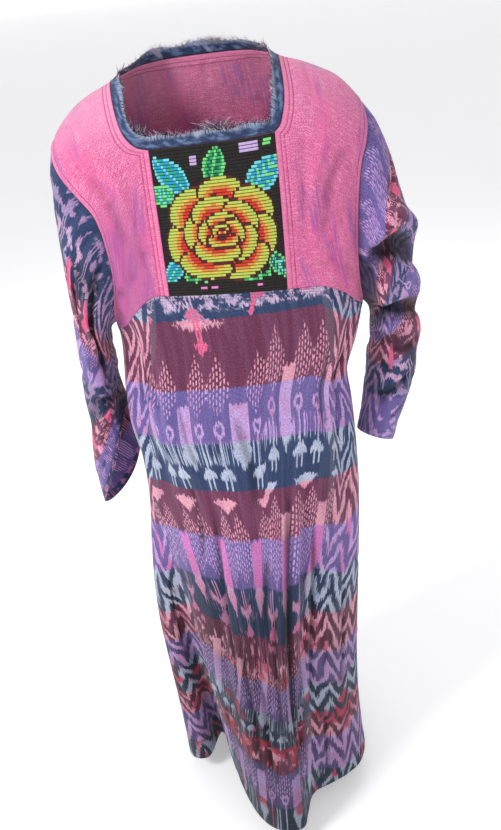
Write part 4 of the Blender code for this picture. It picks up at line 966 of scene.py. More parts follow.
# %% The bib as a ribbed sheet
def brocade_bib():
    """The bib: a sheet whose every row of yarn is a raised rib, with a colour for every stitch."""
    rows = BIB_ROWS * RIB_POINTS
    foot = seam_edge(SEAM_FRONT_LINE, BIB_RIGHT[0], BIB_LEFT[0], BIB_STITCHES)
    net = patch(foot, edge(NECK_BIB, BIB_STITCHES), edge(BIB_RIGHT, rows), edge(BIB_LEFT, rows))
    points = hold_back(on_body("front", net), SEAM_GAP / 2)
    normals = on_body("front", net, body_normal)
    share_x = (np.arange(BIB_STITCHES) + 0.5) / BIB_STITCHES
    share_y = (np.arange(BIB_ROWS) + 0.5) / BIB_ROWS
    across, up = np.meshgrid((share_x - 0.5) * BIB_WIDE, share_y * BIB_TALL)
    slip = np.sin(np.arange(BIB_ROWS) * 2.4)[:, None] * 0.0005
    paint = brocade_yarns(across + slip, up)
    lit = eased(paint.max(axis=-1), 0.02, 0.1)
    stitch = np.clip(np.arange(BIB_STITCHES + 1), 0, BIB_STITCHES - 1)
    rib = np.clip(np.arange(rows + 1) // RIB_POINTS, 0, BIB_ROWS - 1)
    bulge = np.array([-0.2, 0.8, 1.0, 0.8])[np.arange(rows + 1) % RIB_POINTS]
    lift = bulge[:, None] * (0.45 + 0.55 * lit[rib][:, stitch]) * RIB_HEIGHT
    lift += np.sin(np.arange(rows + 1)[:, None] * 0.31 + stitch[None] * 0.9) * 0.00008
    points = points + normals * (lift - 0.0003)[..., None]
    up_rows = np.arange(rows + 1)[:, None] / RIB_POINTS
    threads = np.stack(np.broadcast_arrays(stitch[None] * 1.0, up_rows), axis=-1)
    item = grid_cloth("bib_brocade", points, normals, threads, paint=np.repeat(paint, RIB_POINTS, axis=0))
    return thicken(item, WALL_BIB), points, normals


bib, *bib_form = brocade_bib()
print("bib:", len(bib.data.polygons), "faces,", BIB_ROWS, "rows of yarn")

# %% [markdown]
# ## The sleeves
# A sleeve is a loft: it starts on the armhole's own outline, lets go of it over the first hand's breadth,
# and runs through oval sections to the cuff. Its folds run round it, so they are paths of angle and row.

# %% Tables of the sleeves
SLEEVE_SQUARE = 2.1
# Sections: outer edge across and height, inner edge across and height, centre depth, half depth, then
# how far the rear half slants and both faces bow, across and in height, none where nothing is given
SLEEVE_RIGHT = [
    (-0.233, -0.06, -0.18, -0.355, 0.0, 0.06),
    (-0.242, -0.094, -0.189, -0.362, -0.002, 0.076),
    (-0.245, -0.133, -0.1945, -0.372, -0.003, 0.084),
    (-0.247, -0.176, -0.1965, -0.384, -0.002, 0.087),
    (-0.2485, -0.221, -0.1975, -0.397, 0.0, 0.086),
    (-0.25, -0.268, -0.198, -0.41, 0.002, 0.084),
    (-0.252, -0.315, -0.1985, -0.423, 0.004, 0.082),
    (-0.2545, -0.363, -0.199, -0.436, 0.006, 0.08, 0.001, -0.002, 0.001, -0.001),
    (-0.2575, -0.411, -0.1995, -0.449, 0.008, 0.078, 0.002, -0.004, 0.003, -0.002),
    (-0.2605, -0.459, -0.2, -0.462, 0.01, 0.076, 0.003, -0.007, 0.005, -0.003),
    (-0.2635, -0.507, -0.2005, -0.475, 0.012, 0.074, 0.005, -0.011, 0.008, -0.005),
    (-0.266, -0.554, -0.2005, -0.487, 0.013, 0.072, 0.006, -0.015, 0.011, -0.006),
    (-0.268, -0.599, -0.2, -0.498, 0.014, 0.07, 0.008, -0.02, 0.013, -0.007),
    (-0.269, -0.641, -0.199, -0.508, 0.015, 0.069, 0.009, -0.024, 0.015, -0.008),
    (-0.269, -0.678, -0.197, -0.517, 0.016, 0.068, 0.01, -0.028, 0.016, -0.009),
    (-0.268, -0.709, -0.1945, -0.524, 0.017, 0.067, 0.011, -0.031, 0.017, -0.01),
    (-0.266, -0.734, -0.192, -0.53, 0.018, 0.066, 0.011, -0.033, 0.018, -0.01),
]
SLEEVE_LEFT = [
    (0.248, -0.04, 0.24, -0.363, 0.0, 0.06),
    (0.27, -0.07, 0.247, -0.371, -0.002, 0.076),
    (0.286, -0.106, 0.252, -0.381, -0.003, 0.084),
    (0.299, -0.147, 0.255, -0.392, -0.002, 0.087),
    (0.311, -0.19, 0.256, -0.404, 0.0, 0.087),
    (0.322, -0.232, 0.256, -0.416, 0.002, 0.086),
    (0.331, -0.274, 0.2555, -0.428, 0.004, 0.084),
    (0.337, -0.314, 0.255, -0.44, 0.006, 0.082),
    (0.341, -0.352, 0.254, -0.452, 0.008, 0.08, 0.0, -0.002),
    (0.3435, -0.39, 0.2525, -0.465, 0.01, 0.078, 0.0, -0.004),
    (0.3445, -0.428, 0.251, -0.478, 0.012, 0.076, 0.0, -0.006),
    (0.3415, -0.466, 0.249, -0.494, 0.013, 0.074, 0.0, -0.009),
    (0.3355, -0.504, 0.2465, -0.513, 0.013, 0.072, 0.0, -0.012),
    (0.3255, -0.542, 0.243, -0.536, 0.013, 0.07, 0.0, -0.015),
    (0.3135, -0.578, 0.239, -0.564, 0.012, 0.068, 0.0, -0.018),
    (0.301, -0.614, 0.2335, -0.595, 0.011, 0.066, 0.0, -0.02),
    (0.2905, -0.65, 0.227, -0.628, 0.01, 0.064, 0.0, -0.022),
]
# Folds: places round the sleeve in degrees (0 outer edge, 90 front, 180 inner edge) with the row there,
# half width in rows and rise
FOLDS_RIGHT = [
    ([(104, 0.6), (96, 2.6), (108, 5.0), (140, 7.6)], 1.3, -0.012),
    ([(60, 0.8), (58, 3.0), (72, 6.0), (100, 9.0)], 1.5, 0.006),
    ([(0, 11.6), (60, 10.4), (110, 10.4), (175, 12.2)], 0.9, -0.006),
    ([(40, 13.0), (90, 12.4), (130, 12.2), (178, 13.6)], 0.8, 0.005),
    ([(180, 6.5), (220, 5.6), (270, 5.2), (320, 6.0)], 1.2, -0.006),
    ([(180, 10.5), (225, 9.8), (275, 9.6), (330, 10.6)], 1.2, -0.006),
]
FOLDS_LEFT = [
    ([(112, 0.4), (90, 1.3), (45, 4.0), (0, 6.0), (-40, 7.0)], 0.9, 0.01),
    ([(120, 0.9), (94, 2.3), (48, 5.1), (0, 7.1), (-40, 8.1)], 0.9, -0.015),
    ([(140, 1.6), (95, 4.2), (48, 6.5), (0, 8.2), (-40, 9.2)], 0.8, 0.008),
    ([(150, 3.2), (100, 5.8), (52, 7.6), (0, 9.2), (-30, 10.2)], 0.9, -0.015),
    ([(158, 6.2), (110, 8.2), (60, 10.4), (10, 11.2)], 0.8, -0.006),
    ([(60, 11.6), (90, 12.4), (130, 13.6)], 0.8, -0.005),
    ([(200, 8.2), (240, 9.0), (290, 9.6), (340, 9.6)], 1.2, -0.007),
    ([(200, 5.0), (250, 5.2), (300, 6.6)], 1.3, -0.006),
]


# Sharper creases: rise, half width in metres, path as degrees round the sleeve and row down it
CREASES_RIGHT = [
    (-0.012, 0.007, [(112, 0.8), (108, 2.4), (112, 4.2), (124, 6.2), (146, 8.4)]),
    (0.005, 0.007, [(100, 1.2), (97, 3.0), (102, 5.0), (116, 7.0)]),
    (-0.005, 0.006, [(84, 1.6), (72, 3.6), (70, 5.6)]),
    (-0.0055, 0.006, [(56, 10.2), (90, 9.8), (120, 10.2), (150, 11.2)]),
    (-0.0045, 0.005, [(66, 12.9), (100, 12.0), (134, 12.4)]),
    (0.0036, 0.006, [(60, 12.2), (96, 11.3), (128, 11.6)]),
    (-0.004, 0.006, [(6, 3.2), (35, 4.0), (60, 4.2)]),
    (-0.004, 0.006, [(4, 6.4), (36, 6.0), (64, 6.6)]),
    (-0.0036, 0.005, [(2, 9.0), (30, 8.4), (55, 8.8)]),
    (-0.0036, 0.005, [(20, 13.6), (48, 14.0), (80, 13.8)]),
    (-0.007, 0.0065, [(250, 0.9), (252, 2.6), (244, 4.6), (226, 6.8)]),
    (-0.005, 0.006, [(210, 8.8), (250, 8.2), (300, 9.2)]),
    (-0.0045, 0.0055, [(206, 11.6), (250, 11.2), (300, 12.2), (330, 12.6)]),
    (-0.004, 0.0055, [(290, 2.2), (310, 4.0), (340, 4.8)]),
    (-0.0038, 0.0055, [(285, 5.6), (315, 6.4), (345, 6.2)]),
]
CREASES_LEFT = [
    (-0.017, 0.0075, [(124, 0.6), (100, 1.9), (70, 3.6), (40, 5.3), (-10, 7.0)]),
    (0.01, 0.0085, [(122, 0.0), (98, 1.2), (66, 2.8), (36, 4.5), (-6, 6.2)]),
    (-0.015, 0.007, [(158, 3.0), (120, 4.8), (90, 6.4), (55, 7.8), (10, 9.0)]),
    (0.008, 0.008, [(152, 2.4), (118, 4.1), (88, 5.7), (52, 7.1), (12, 8.3)]),
    (-0.0055, 0.006, [(124, 8.4), (95, 9.6), (70, 10.0), (38, 9.8)]),
    (-0.005, 0.0055, [(56, 11.7), (84, 12.6), (110, 13.2), (142, 13.0)]),
    (0.0038, 0.007, [(50, 11.0), (80, 11.9), (112, 12.4)]),
    (-0.0045, 0.006, [(26, 13.2), (55, 14.2), (88, 14.8)]),
    (-0.004, 0.005, [(140, 9.8), (120, 11.0), (108, 11.8)]),
    (-0.0036, 0.005, [(10, 1.8), (34, 2.4), (60, 2.0)]),
    (-0.004, 0.0055, [(12, 10.6), (30, 11.6), (36, 12.8)]),
    (-0.007, 0.0065, [(240, 0.9), (250, 2.6), (286, 4.8), (330, 6.6)]),
    (-0.006, 0.006, [(208, 4.0), (240, 5.8), (280, 7.6), (322, 9.0)]),
    (-0.0045, 0.0055, [(210, 9.0), (250, 9.8), (300, 10.4)]),
    (-0.0042, 0.0055, [(220, 12.0), (262, 12.6), (310, 12.2)]),
]
SLEEVE_SPAN = np.array([0.00106, 0.0265])
CUFF_ROWS = (0.01, 0.015)


# %% Lofting a sleeve
SLEEVE_STEPS = 168
SLEEVE_ROWS = 144
# Rows over which a sleeve lets go of the armhole's outline, how it does so, and where its folds start
SLEEVE_HOLD = 4.0
SLEEVE_HOLD_CURVE = 1.5
SLEEVE_CALM = 1.4
# Degrees that a sleeve's fold runs on beyond its path, and over which it dies down
FOLD_BEYOND = 25.0
FOLD_EASE = 40.0
# The part of a sleeve with zigzags: its middle and half width, in degrees round the sleeve
ZIGZAG_MIDDLE = 186.0
ZIGZAG_TURN = 68.0


def fold_rise(folds, angle, row):
    """Rise of the sleeve folds at an angle round the sleeve and a row down it."""
    rise = np.zeros(np.broadcast(angle, row).shape)
    for path, half, height in folds:
        ordered = sorted(path)
        low, high = ordered[0][0], ordered[-1][0]
        for turn in (angle, angle - 360.0):
            middle = table_value(ordered, turn)
            end = np.clip((np.minimum(turn - low, high - turn) + FOLD_BEYOND) / FOLD_EASE, 0.0, 1.0)
            rise = rise + height * end * np.exp(-((row - middle) / half) ** 2)
    return rise


def sleeve_form(side, table, folds, creases):
    """Points and normals of a sleeve, row by row from the armhole, and its angles and rows."""
    half = SLEEVE_STEPS // 2
    front = on_body("front", edge(ARMHOLES[side, "front"], half))
    rear = on_body("back", edge(ARMHOLES[side, "back"], half))
    hole = np.vstack([front, rear[::-1][1:]])
    angle = np.linspace(0.0, 360.0, SLEEVE_STEPS + 1)[None]
    row = np.linspace(0.0, len(table) - 1.0, SLEEVE_ROWS + 1)[:, None]
    keyed = [(index, *section, *[0.0] * (10 - len(section))) for index, section in enumerate(table)]
    out_x, out_z, in_x, in_z, centre_y, half_y, slant_x, slant_z, bow_x, bow_z = (
        table_value(keyed, row, column) for column in range(1, 11))
    turn = np.radians(angle)
    power = 2.0 / SLEEVE_SQUARE
    major = np.sign(np.cos(turn)) * np.abs(np.cos(turn)) ** power
    minor = np.sign(np.sin(turn)) * np.abs(np.sin(turn)) ** power
    x = (out_x + in_x) / 2 + (out_x - in_x) / 2 * major - slant_x * minor + bow_x * minor * minor
    z = (out_z + in_z) / 2 + (out_z - in_z) / 2 * major - slant_z * minor + bow_z * minor * minor
    y = centre_y - half_y * minor
    points = np.stack(np.broadcast_arrays(x, y, z), axis=-1)
    keep = np.maximum(0.0, 1.0 - row / SLEEVE_HOLD) ** SLEEVE_HOLD_CURVE
    points = points + keep[..., None] * (hole - points[0])[None]
    middle = points[:, :-1].mean(axis=1, keepdims=True)
    rise = fold_rise(folds, angle, row) * eased(row, 0.0, SLEEVE_CALM)
    points = points + unit(points - middle) * rise[..., None]
    points[0] = hole + unit(points[1] - hole) * SEAM_GAP
    normals = tube_normals(points, middle)
    flat = np.stack(np.broadcast_arrays(angle, row), axis=-1)
    push = rumple(flat, *WRINKLES[side], SLEEVE_SPAN)
    for turn in (-360.0, 0.0, 360.0):
        push += crease_push(flat + np.array([turn, 0.0]), creases, SLEEVE_SPAN)
    push[:, 0] = push[:, -1] = (push[:, 0] + push[:, -1]) / 2
    down = margins(points)[3]
    push *= eased(row, 0.2, 1.2) * eased(down, 0.004, 0.04)
    push += HEM_RISE * (1.0 - eased(down, 0.0165, 0.0195)) - FURROW_DEPTH * furrow(down, CUFF_ROWS)
    points = points + normals * push[..., None]
    return points, tube_normals(points, middle), angle, row, push + rise


def tube_normals(points, middle):
    """Outward directions of a tube whose first and last columns are the same."""
    normals = unit(np.cross(np.gradient(points, axis=1), np.gradient(points, axis=0)))
    seam = unit(normals[:, 0] + normals[:, -1])
    normals[:, 0] = normals[:, -1] = seam
    return np.where((normals * (points - middle)).sum(-1, keepdims=True) < 0.0, -normals, normals)


# Band numbers down each sleeve: row, band
SLEEVE_BANDS = {
    "right": [(0.0, 2.0), (3.4, 3.0), (6.2, 4.0), (8.6, 5.0), (10.9, 6.0), (13.0, 7.0), (15.2, 8.0),
              (17.0, 8.8)],
    "left": [(0.0, 7.9), (1.9, 7.0), (3.5, 6.0), (5.3, 5.0), (7.3, 4.0), (10.4, 3.0), (13.4, 2.0),
             (16.0, 1.1)],
}


def sleeve(side, table, folds, creases):
    """One sleeve as a closed tube of cloth."""
    points, normals, angle, row, push = sleeve_form(side, table, folds, creases)
    lengths = row_lengths(points)
    band = np.interp(np.broadcast_to(row, points.shape[:2]), *zip(*SLEEVE_BANDS[side]))
    thread = lengths[..., 0]
    round_length = thread[:, -1:] - thread[:, :1]
    zigzag = (ZIGZAG_TURN - np.abs(angle - ZIGZAG_MIDDLE)) / 360.0 * round_length
    dye = np.stack([thread, band, zigzag], axis=-1)
    threads = np.stack([thread, -lengths[..., 1]], axis=-1)
    item = grid_cloth("sleeve_" + side + "_cloth", points, normals, threads, dye, closed=True, push=push)
    return thicken(item, WALL_IKAT), points, normals


sleeve_right, *sleeve_right_form = sleeve("right", SLEEVE_RIGHT, FOLDS_RIGHT, CREASES_RIGHT)
sleeve_left, *sleeve_left_form = sleeve("left", SLEEVE_LEFT, FOLDS_LEFT, CREASES_LEFT)
print("sleeves:", [len(item.data.polygons) for item in (sleeve_right, sleeve_left)], "faces")

# %% [markdown]
# ## The neck strip and its frayed edge
# A strip of denim-blue cotton stands inside the neckline. Its upper edge is raw, so its threads hang
# loose there. The strip is one more sheet, closed into a ring. The loose threads are thin curves with a
# few bends each, and each colour of thread is one piece.

# %% The strip round the neck
BAND_HEIGHT = 0.0185
BAND_WAVE = 0.0022
BAND_ROWS = 9
BAND_LEAN = 0.6
# A point inside the neck, which the strip faces, and one above it, which it leans towards
NECK_INSIDE = np.array([0.0, 0.0, 0.12])
NECK_ABOVE = np.array([0.0, 0.0, 0.13])
neck_ring = [("front", np.vstack([neck_bib, neck_left[1:]])), ("back", neck_back[::-1][1:-1]),
             ("front", neck_right[::-1][:-1])]
neck_points = np.vstack([on_body(face, line) for face, line in neck_ring])
neck_normals = np.vstack([on_body(face, line, body_normal) for face, line in neck_ring])
neck_along = unit(np.roll(neck_points, -1, axis=0) - np.roll(neck_points, 1, axis=0))
neck_out = unit(np.cross(neck_along, neck_normals))
inward = (neck_out * (NECK_INSIDE - neck_points)).sum(-1, keepdims=True) < 0.0
neck_out = np.where(inward, -neck_out, neck_out)
neck_lean = unit(NECK_ABOVE - neck_points * np.array([1.0, 0.15, 1.0]))
neck_toward = unit(neck_out + neck_lean * BAND_LEAN)
neck_step = np.arange(len(neck_points)) / FINE
neck_wave = np.sin(neck_step * 2.3) * BAND_WAVE + np.sin(neck_step * 0.9 + 1.0) * BAND_WAVE * 0.6
neck_tall = BAND_HEIGHT * (1.0 + 0.12 * np.sin(neck_step * 1.7 + 0.4))


def band_row(share):
    """The strip's points at a share of its height."""
    rise = neck_toward * (neck_tall * share)[:, None] + neck_normals * (neck_wave * share ** 1.3)[:, None]
    return neck_points + rise + neck_out * SEAM_GAP


band_points = np.array([band_row(share) for share in np.linspace(0.0, 1.0, BAND_ROWS)])
band_points = np.concatenate([band_points, band_points[:, :1]], axis=1)
band_normals = np.broadcast_to(np.vstack([neck_normals, neck_normals[:1]])[None], band_points.shape)
neck_strip = thicken(grid_cloth("neck_strip_cloth", band_points, band_normals, row_lengths(band_points),
                                closed=True), WALL_BAND)
print("neck strip:", round(float(running(band_points[0])[-1]), 3), "m round")

# %% The loose threads on its raw edge
THREAD_THICK = 0.00054
THREAD_TOP = 0.0125
THREAD_COUNT = 1700
THREAD_COLOURS = {"navy": 0.31, "white": 0.16, "maroon": 0.17, "black": 0.26, "pink": 0.1}
# Tufts: a rough place, half length along the edge, and how much taller the threads are there
TUFTS = [
    ((0.024, -0.1, -0.11), 0.018, 1.4), ((-0.04, -0.1, -0.11), 0.008, 0.4),
    ((-0.095, -0.08, -0.1), 0.014, 0.6), ((-0.1, -0.05, -0.05), 0.016, 0.5),
    ((-0.1, 0.01, 0.01), 0.014, 0.5), ((0.1, 0.0, 0.0), 0.016, 0.6),
    ((0.085, -0.09, -0.1), 0.012, 0.4), ((0.03, 0.09, 0.0), 0.02, 0.3),
]
rng = np.random.default_rng(7)
top_line = band_points[-1, :-1]
top_up = unit(band_points[-1, :-1] - band_points[-2, :-1])
tuft = np.zeros(len(top_line))
for spot, half, taller in TUFTS:
    middle = top_line[np.linalg.norm(top_line - np.array(spot), axis=1).argmin()]
    tuft += taller * np.exp(-(np.linalg.norm(top_line - middle, axis=1) / half) ** 2)
odds = (0.3 + tuft) / (0.3 + tuft).sum()


def loose_threads(name, count):
    """Thin bent threads that stand round the strip's raw edge, as one mesh."""
    data = bpy.data.curves.new(name, "CURVE")
    data.dimensions = "3D"
    data.bevel_depth = THREAD_THICK / 2
    data.bevel_resolution = 0
    data.use_fill_caps = True
    for _ in range(count):
        at = rng.choice(len(top_line), p=odds)
        foot = top_line[at] + (top_line[(at + 1) % len(top_line)] - top_line[at]) * rng.random()
        foot = foot - top_up[at] * 0.0015
        tall = THREAD_TOP * rng.uniform(0.3, 1.0) ** 1.4 * min(0.62 + tuft[at] * 0.7, 1.4)
        lean = neck_along[at] * rng.normal(0.0, 0.75) + neck_normals[at] * rng.normal(0.05, 0.45)
        curl = neck_along[at] * rng.normal(0.0, 1.1) + neck_normals[at] * rng.normal(0.0, 0.8)
        spline = data.splines.new("POLY")
        spline.points.add(4)
        for step in range(5):
            part = step / 4
            spot = foot + (top_up[at] * part + lean * part * 0.8 + curl * part * part * 0.5) * tall
            spline.points[step].co = (*spot, 1.0)
            spline.points[step].radius = 1.0 - 0.55 * part
    drawn = bpy.data.objects.new(name + "_drawn", data)
    mesh = bpy.data.meshes.new_from_object(drawn)
    mesh.name = name
    bpy.data.objects.remove(drawn)
    mesh.shade_smooth()
    return add_object(name, mesh)


fringes = {colour: loose_threads("loose_threads_" + colour, int(THREAD_COUNT * share))
           for colour, share in THREAD_COLOURS.items()}
print("loose threads:", sum(len(item.data.polygons) for item in fringes.values()), "faces")

# %% [markdown]
# ## Stitches
# Rows of stitching show along the neck, the bib, the armholes, the yoke seam, the cuffs and the hem. A
# stitch is a short slim bead of thread. Each row keeps its distance from an edge of its panel and lies on
# the cloth's outer face, so the rows are read off the draped points, and one small sphere is stretched
# into every stitch.

# %% Rows of stitches
STITCH = 0.0031
STITCH_STEP = 0.0044
STITCH_HALF = 0.00042
TURNS = {
    "left": lambda grid: grid,
    "right": lambda grid: grid[:, ::-1],
    "low": lambda grid: grid.swapaxes(0, 1),
    "high": lambda grid: grid.swapaxes(0, 1)[:, ::-1],
}


def stitch_row(form, side, gap, ends=0.002):
    """Points and normals of a row that keeps its distance from one edge of a panel."""
    points, normals = (TURNS[side](grid) for grid in form)
    length = running(points, axis=1)
    both = np.concatenate([points, normals], axis=-1)
    row = np.array([[np.interp(gap, length[index], both[index, :, k]) for k in range(6)]
                    for index in range(len(both))])
    run = running(row[:, :3])
    keep = (run >= ends) & (run <= run[-1] - ends)
    return row[keep]


def sew(name, rows):
    """All the stitches of one thread, as one piece."""
    parts = []
    for row in rows:
        run = running(row[:, :3])
        middles = np.arange(STITCH_STEP, run[-1] - STITCH_STEP / 2, STITCH_STEP)
        spots = [np.stack([np.interp(middles + shift, run, row[:, k]) for k in range(6)], axis=1)
                 for shift in (-STITCH / 2, 0.0, STITCH / 2)]
        along = unit(spots[2][:, :3] - spots[0][:, :3])
        out = unit(spots[1][:, 3:])
        side = unit(np.cross(out, along))
        out = np.cross(along, side)
        middle = spots[1][:, :3] + out * STITCH_HALF * 0.4
        parts.extend(zip(side * STITCH_HALF, out * STITCH_HALF, along * STITCH / 2, middle))
    bm = bmesh.new()
    bmesh.ops.create_uvsphere(bm, u_segments=6, v_segments=3, radius=1.0)
    bead = bpy.data.meshes.new(name)
    bm.to_mesh(bead)
    for _ in parts[1:]:
        bm.from_mesh(bead)
    bm.verts.ensure_lookup_table()
    beads = np.array([v.co[:] for v in bm.verts]).reshape(len(parts), -1, 3)
    frames = np.array([columns[:3] for columns in parts])
    placed = np.einsum("pvk,pkc->pvc", beads, frames) + np.array([columns[3] for columns in parts])[:, None]
    bm.to_mesh(bead)
    bm.free()
    bead.vertices.foreach_set("co", placed.astype(np.float32).ravel())
    bead.shade_smooth()
    bead.update()
    return add_object(name, bead)


pink_rows = [stitch_row(form, side, gap)
             for form, side in ((yoke_right_form, "right"), (yoke_left_form, "left")) for gap in NECK_ROWS]
pink_rows += [stitch_row(form, side, gap) for gap in HOLE_ROWS for form, side in (
    (yoke_right_form, "left"), (yoke_left_form, "right"),
    (yoke_back_form, "left"), (yoke_back_form, "right"))]
pink_rows += [stitch_row(yoke_back_form, "high", gap) for gap in NECK_ROWS]
navy_rows = [stitch_row(form, "high", gap) for form in (skirt_front_form, skirt_back_form)
             for gap in SKIRT_SEAM_ROWS]
navy_rows += [stitch_row(form, "low", HEM_FOLD) for form in (skirt_front_form, skirt_back_form)]
navy_rows += [stitch_row(form, "high", gap, 0.0) for form in (sleeve_right_form, sleeve_left_form)
              for gap in CUFF_ROWS]
stitches = {"pink": sew("stitches_pink", pink_rows), "navy": sew("stitches_navy", navy_rows)}
print("stitches:", {key: len(item.data.polygons) // 18 for key, item in stitches.items()})

# %% [markdown]
# ## Shader maths as plain expressions
# A cloth's colours come from sums on its own threads. One small class wraps a socket, so that `1 - mask *
# 0.5` adds the Math nodes by itself, and one method adds any other node.


# %% Sockets that add up
class Wire:
    """A socket of a finish that can be used like a number."""

    def __init__(self, finish, socket):
        self.finish = finish
        self.socket = socket

    def math(self, operation, *others):
        """A Math node on this value and others."""
        return self.finish.node("Math", {"operation": operation}, dict(enumerate((self, *others))))

    def __add__(self, other):
        return self.math("ADD", other)

    def __sub__(self, other):
        return self.math("SUBTRACT", other)

    def __mul__(self, other):
        return self.math("MULTIPLY", other)

    def __truediv__(self, other):
        return self.math("DIVIDE", other)

    def __rsub__(self, other):
        return self.finish.node("Math", {"operation": "SUBTRACT"}, {0: other, 1: self})

    __radd__ = __add__
    __rmul__ = __mul__

    def size(self):
        """The value without its sign."""
        return self.math("ABSOLUTE")

    def most(self, other):
        """The larger of two values."""
        return self.math("MAXIMUM", other)

    def least(self, other):
        """The smaller of two values."""
        return self.math("MINIMUM", other)

    def pick(self, name):
        """Another output of the same node."""
        return Wire(self.finish, self.socket.node.outputs[name])

    def ease(self, low, high):
        """Zero at low, one at high, eased between; low may be the larger."""
        return self.finish.node("MapRange", {"interpolation_type": "SMOOTHSTEP"},
                                {"Value": self, "From Min": low, "From Max": high})


class Finish:
    """A material that is built up node by node."""

    def __init__(self, name, roughness=0.85, sheen=0.0):
        self.material = bpy.data.materials.new(name)
        self.material.use_nodes = True
        self.tree = self.material.node_tree
        self.shader = self.tree.nodes["Principled BSDF"]
        self.shader.inputs["Roughness"].default_value = roughness
        self.shader.inputs["Sheen Weight"].default_value = sheen
        self.shader.inputs["Specular IOR Level"].default_value = 0.25

    def node(self, kind, settings=None, inputs=None, output=0):
        """Adds a node: its settings, then values or wires for its sockets. Returns one output."""
        node = self.tree.nodes.new("ShaderNode" + kind)
        for key, value in (settings or {}).items():
            setattr(node, key, value)
        for key, value in (inputs or {}).items():
            if isinstance(value, Wire):
                self.tree.links.new(value.socket, node.inputs[key])
            else:
                node.inputs[key].default_value = value
        return Wire(self, node.outputs[output])

    def mix(self, share, first, second, blend="MIX"):
        """Two colours mixed by a share."""
        settings = {"data_type": "RGBA", "blend_type": blend}
        return self.node("Mix", settings, {0: share, 6: first, 7: second}, output=2)

    def attach(self, **links):
        """Joins wires to the shader's sockets."""
        for key, value in links.items():
            self.tree.links.new(value.socket, self.shader.inputs[key.replace("_", " ")])
        return self.material

    def noise(self, x, y, detail=0.0):
        """Noise from 0 to 1 over two values."""
        spot = self.node("CombineXYZ", None, {"X": x, "Y": y})
        return self.node("TexNoise", {"noise_dimensions": "2D"},
                         {"Vector": spot, "Scale": 1.0, "Detail": detail, "Roughness": 0.6})

    def within(self, value, low, high, soft):
        """One between low and high, with soft edges."""
        return value.ease(low - soft, low + soft) * (1.0 - value.ease(high - soft, high + soft))

    def shaded(self, colour, shade):
        """A colour made lighter or darker by a value."""
        grey = self.node("CombineColor", None, {0: shade, 1: shade, 2: shade})
        return self.mix(1.0, colour, grey, "MULTIPLY")

    def cloth(self):
        """The two cloth lengths of the piece's own UV map."""
        parts = self.node("SeparateXYZ", None, {0: self.node("UVMap", {"uv_map": "cloth"})})
        return parts, parts.pick("Y")

    def attribute(self, name):
        """The three values of an attribute of the piece."""
        vector = self.node("Attribute", {"attribute_name": name}, None, "Vector")
        parts = self.node("SeparateXYZ", None, {0: vector})
        return parts, parts.pick("Y"), parts.pick("Z")

    def painted_crease_shade(self):
        """Painted shade in the cloth's creases, dark in the troughs, with a little painted highlight on the
        ridges.
        """
        push = self.node("Attribute", {"attribute_name": "crease"}, None, "Fac")
        deep = push.ease(-0.0004, -0.0058) * 0.5 + push.ease(-0.006, -0.02) * 0.3
        return 1.0 - deep + push.ease(0.0004, 0.0045) * 0.14

    def bump(self, height, distance, strength=1.0):
        """A bump from a height of 0 to 1, as deep as distance in metres."""
        return self.node("Bump", None, {"Height": height, "Distance": distance, "Strength": strength})


# %% [markdown]
# ## Ikat cotton
# The warp of an ikat is tied and dyed before it is woven, so each thread carries its part of every figure
# and slips a little against its neighbours. That is why the edges look feathered. The figures here are
# sums on the dye values: bands by number, then columns of blocks, dashes, rings, caps and clouds. Every
# thread group adds its own slip.

# %% Threads of the ikat
GROUP_WIDTH = 0.0017
FEATHER = 0.085


class Ikat(Finish):
    """The ikat's values that all its figures share."""

    def __init__(self, name):
        super().__init__(name, roughness=0.88, sheen=0.15)
        self.across, self.band, self.side = self.attribute("dye")
        self.down = self.cloth()[1]
        group = (self.across / GROUP_WIDTH).math("FLOOR") * 7.31
        self.slip = self.noise(group, self.down * 22.0, 1.0) - 0.5
        self.blur = self.noise(self.across * 420.0, self.down * 30.0, 2.0) - 0.5
        self.shift = (self.slip + self.blur * 0.6) * (FEATHER * 2.0)
        place = self.across / COLUMN_STEP
        self.late = place.ease(0.3, 0.55) * (1.0 - self.band.ease(6.9, 7.3))
        self.number = self.band + self.shift + self.late * 0.33
        self.period = (self.number / 3.0).math("FLOOR")
        self.phase = self.number - self.period * 3.0
        self.column = place.math("FRACT")
        self.odd = (self.period * 0.5).math("FRACT") * 2.0

    def offset(self, centre):
        """Distance across from a line at a share of the column step."""
        return ((self.column - centre + 0.5).math("FRACT") - 0.5) * COLUMN_STEP

    def by_period(self, values):
        """A number for each period of three bands, the last one for all that follow."""
        total = values[0]
        for index in range(1, len(values)):
            change = values[index] - values[index - 1]
            if change:
                total = total + self.period.math("GREATER_THAN", index - 0.5) * change
        return total


# %% Figures of the ikat
def blocks(ikat):
    """The straight bars of the purple bands, with a cloud at the foot."""
    top = ikat.by_period([1.3, 1.3, 1.04, 0.52, 1.2])
    foot = ikat.by_period([2.0, 2.06, 2.04, 2.04, 2.04])
    bar = 1.0 - ikat.offset(0.0).size().ease(0.0098, 0.0108)
    reach = (ikat.phase + ikat.late * 0.2 - top).ease(-0.02, 0.02)
    reach = reach * (1.0 - (ikat.phase - foot).ease(-0.02, 0.02))
    spread = ikat.offset(0.0).size() + (ikat.phase - 2.2).size() * 0.03 + ikat.blur * 0.006
    cloud = (1.0 - spread.ease(0.011, 0.0135)) * ikat.phase.ease(1.95, 2.02)
    return bar * reach, cloud


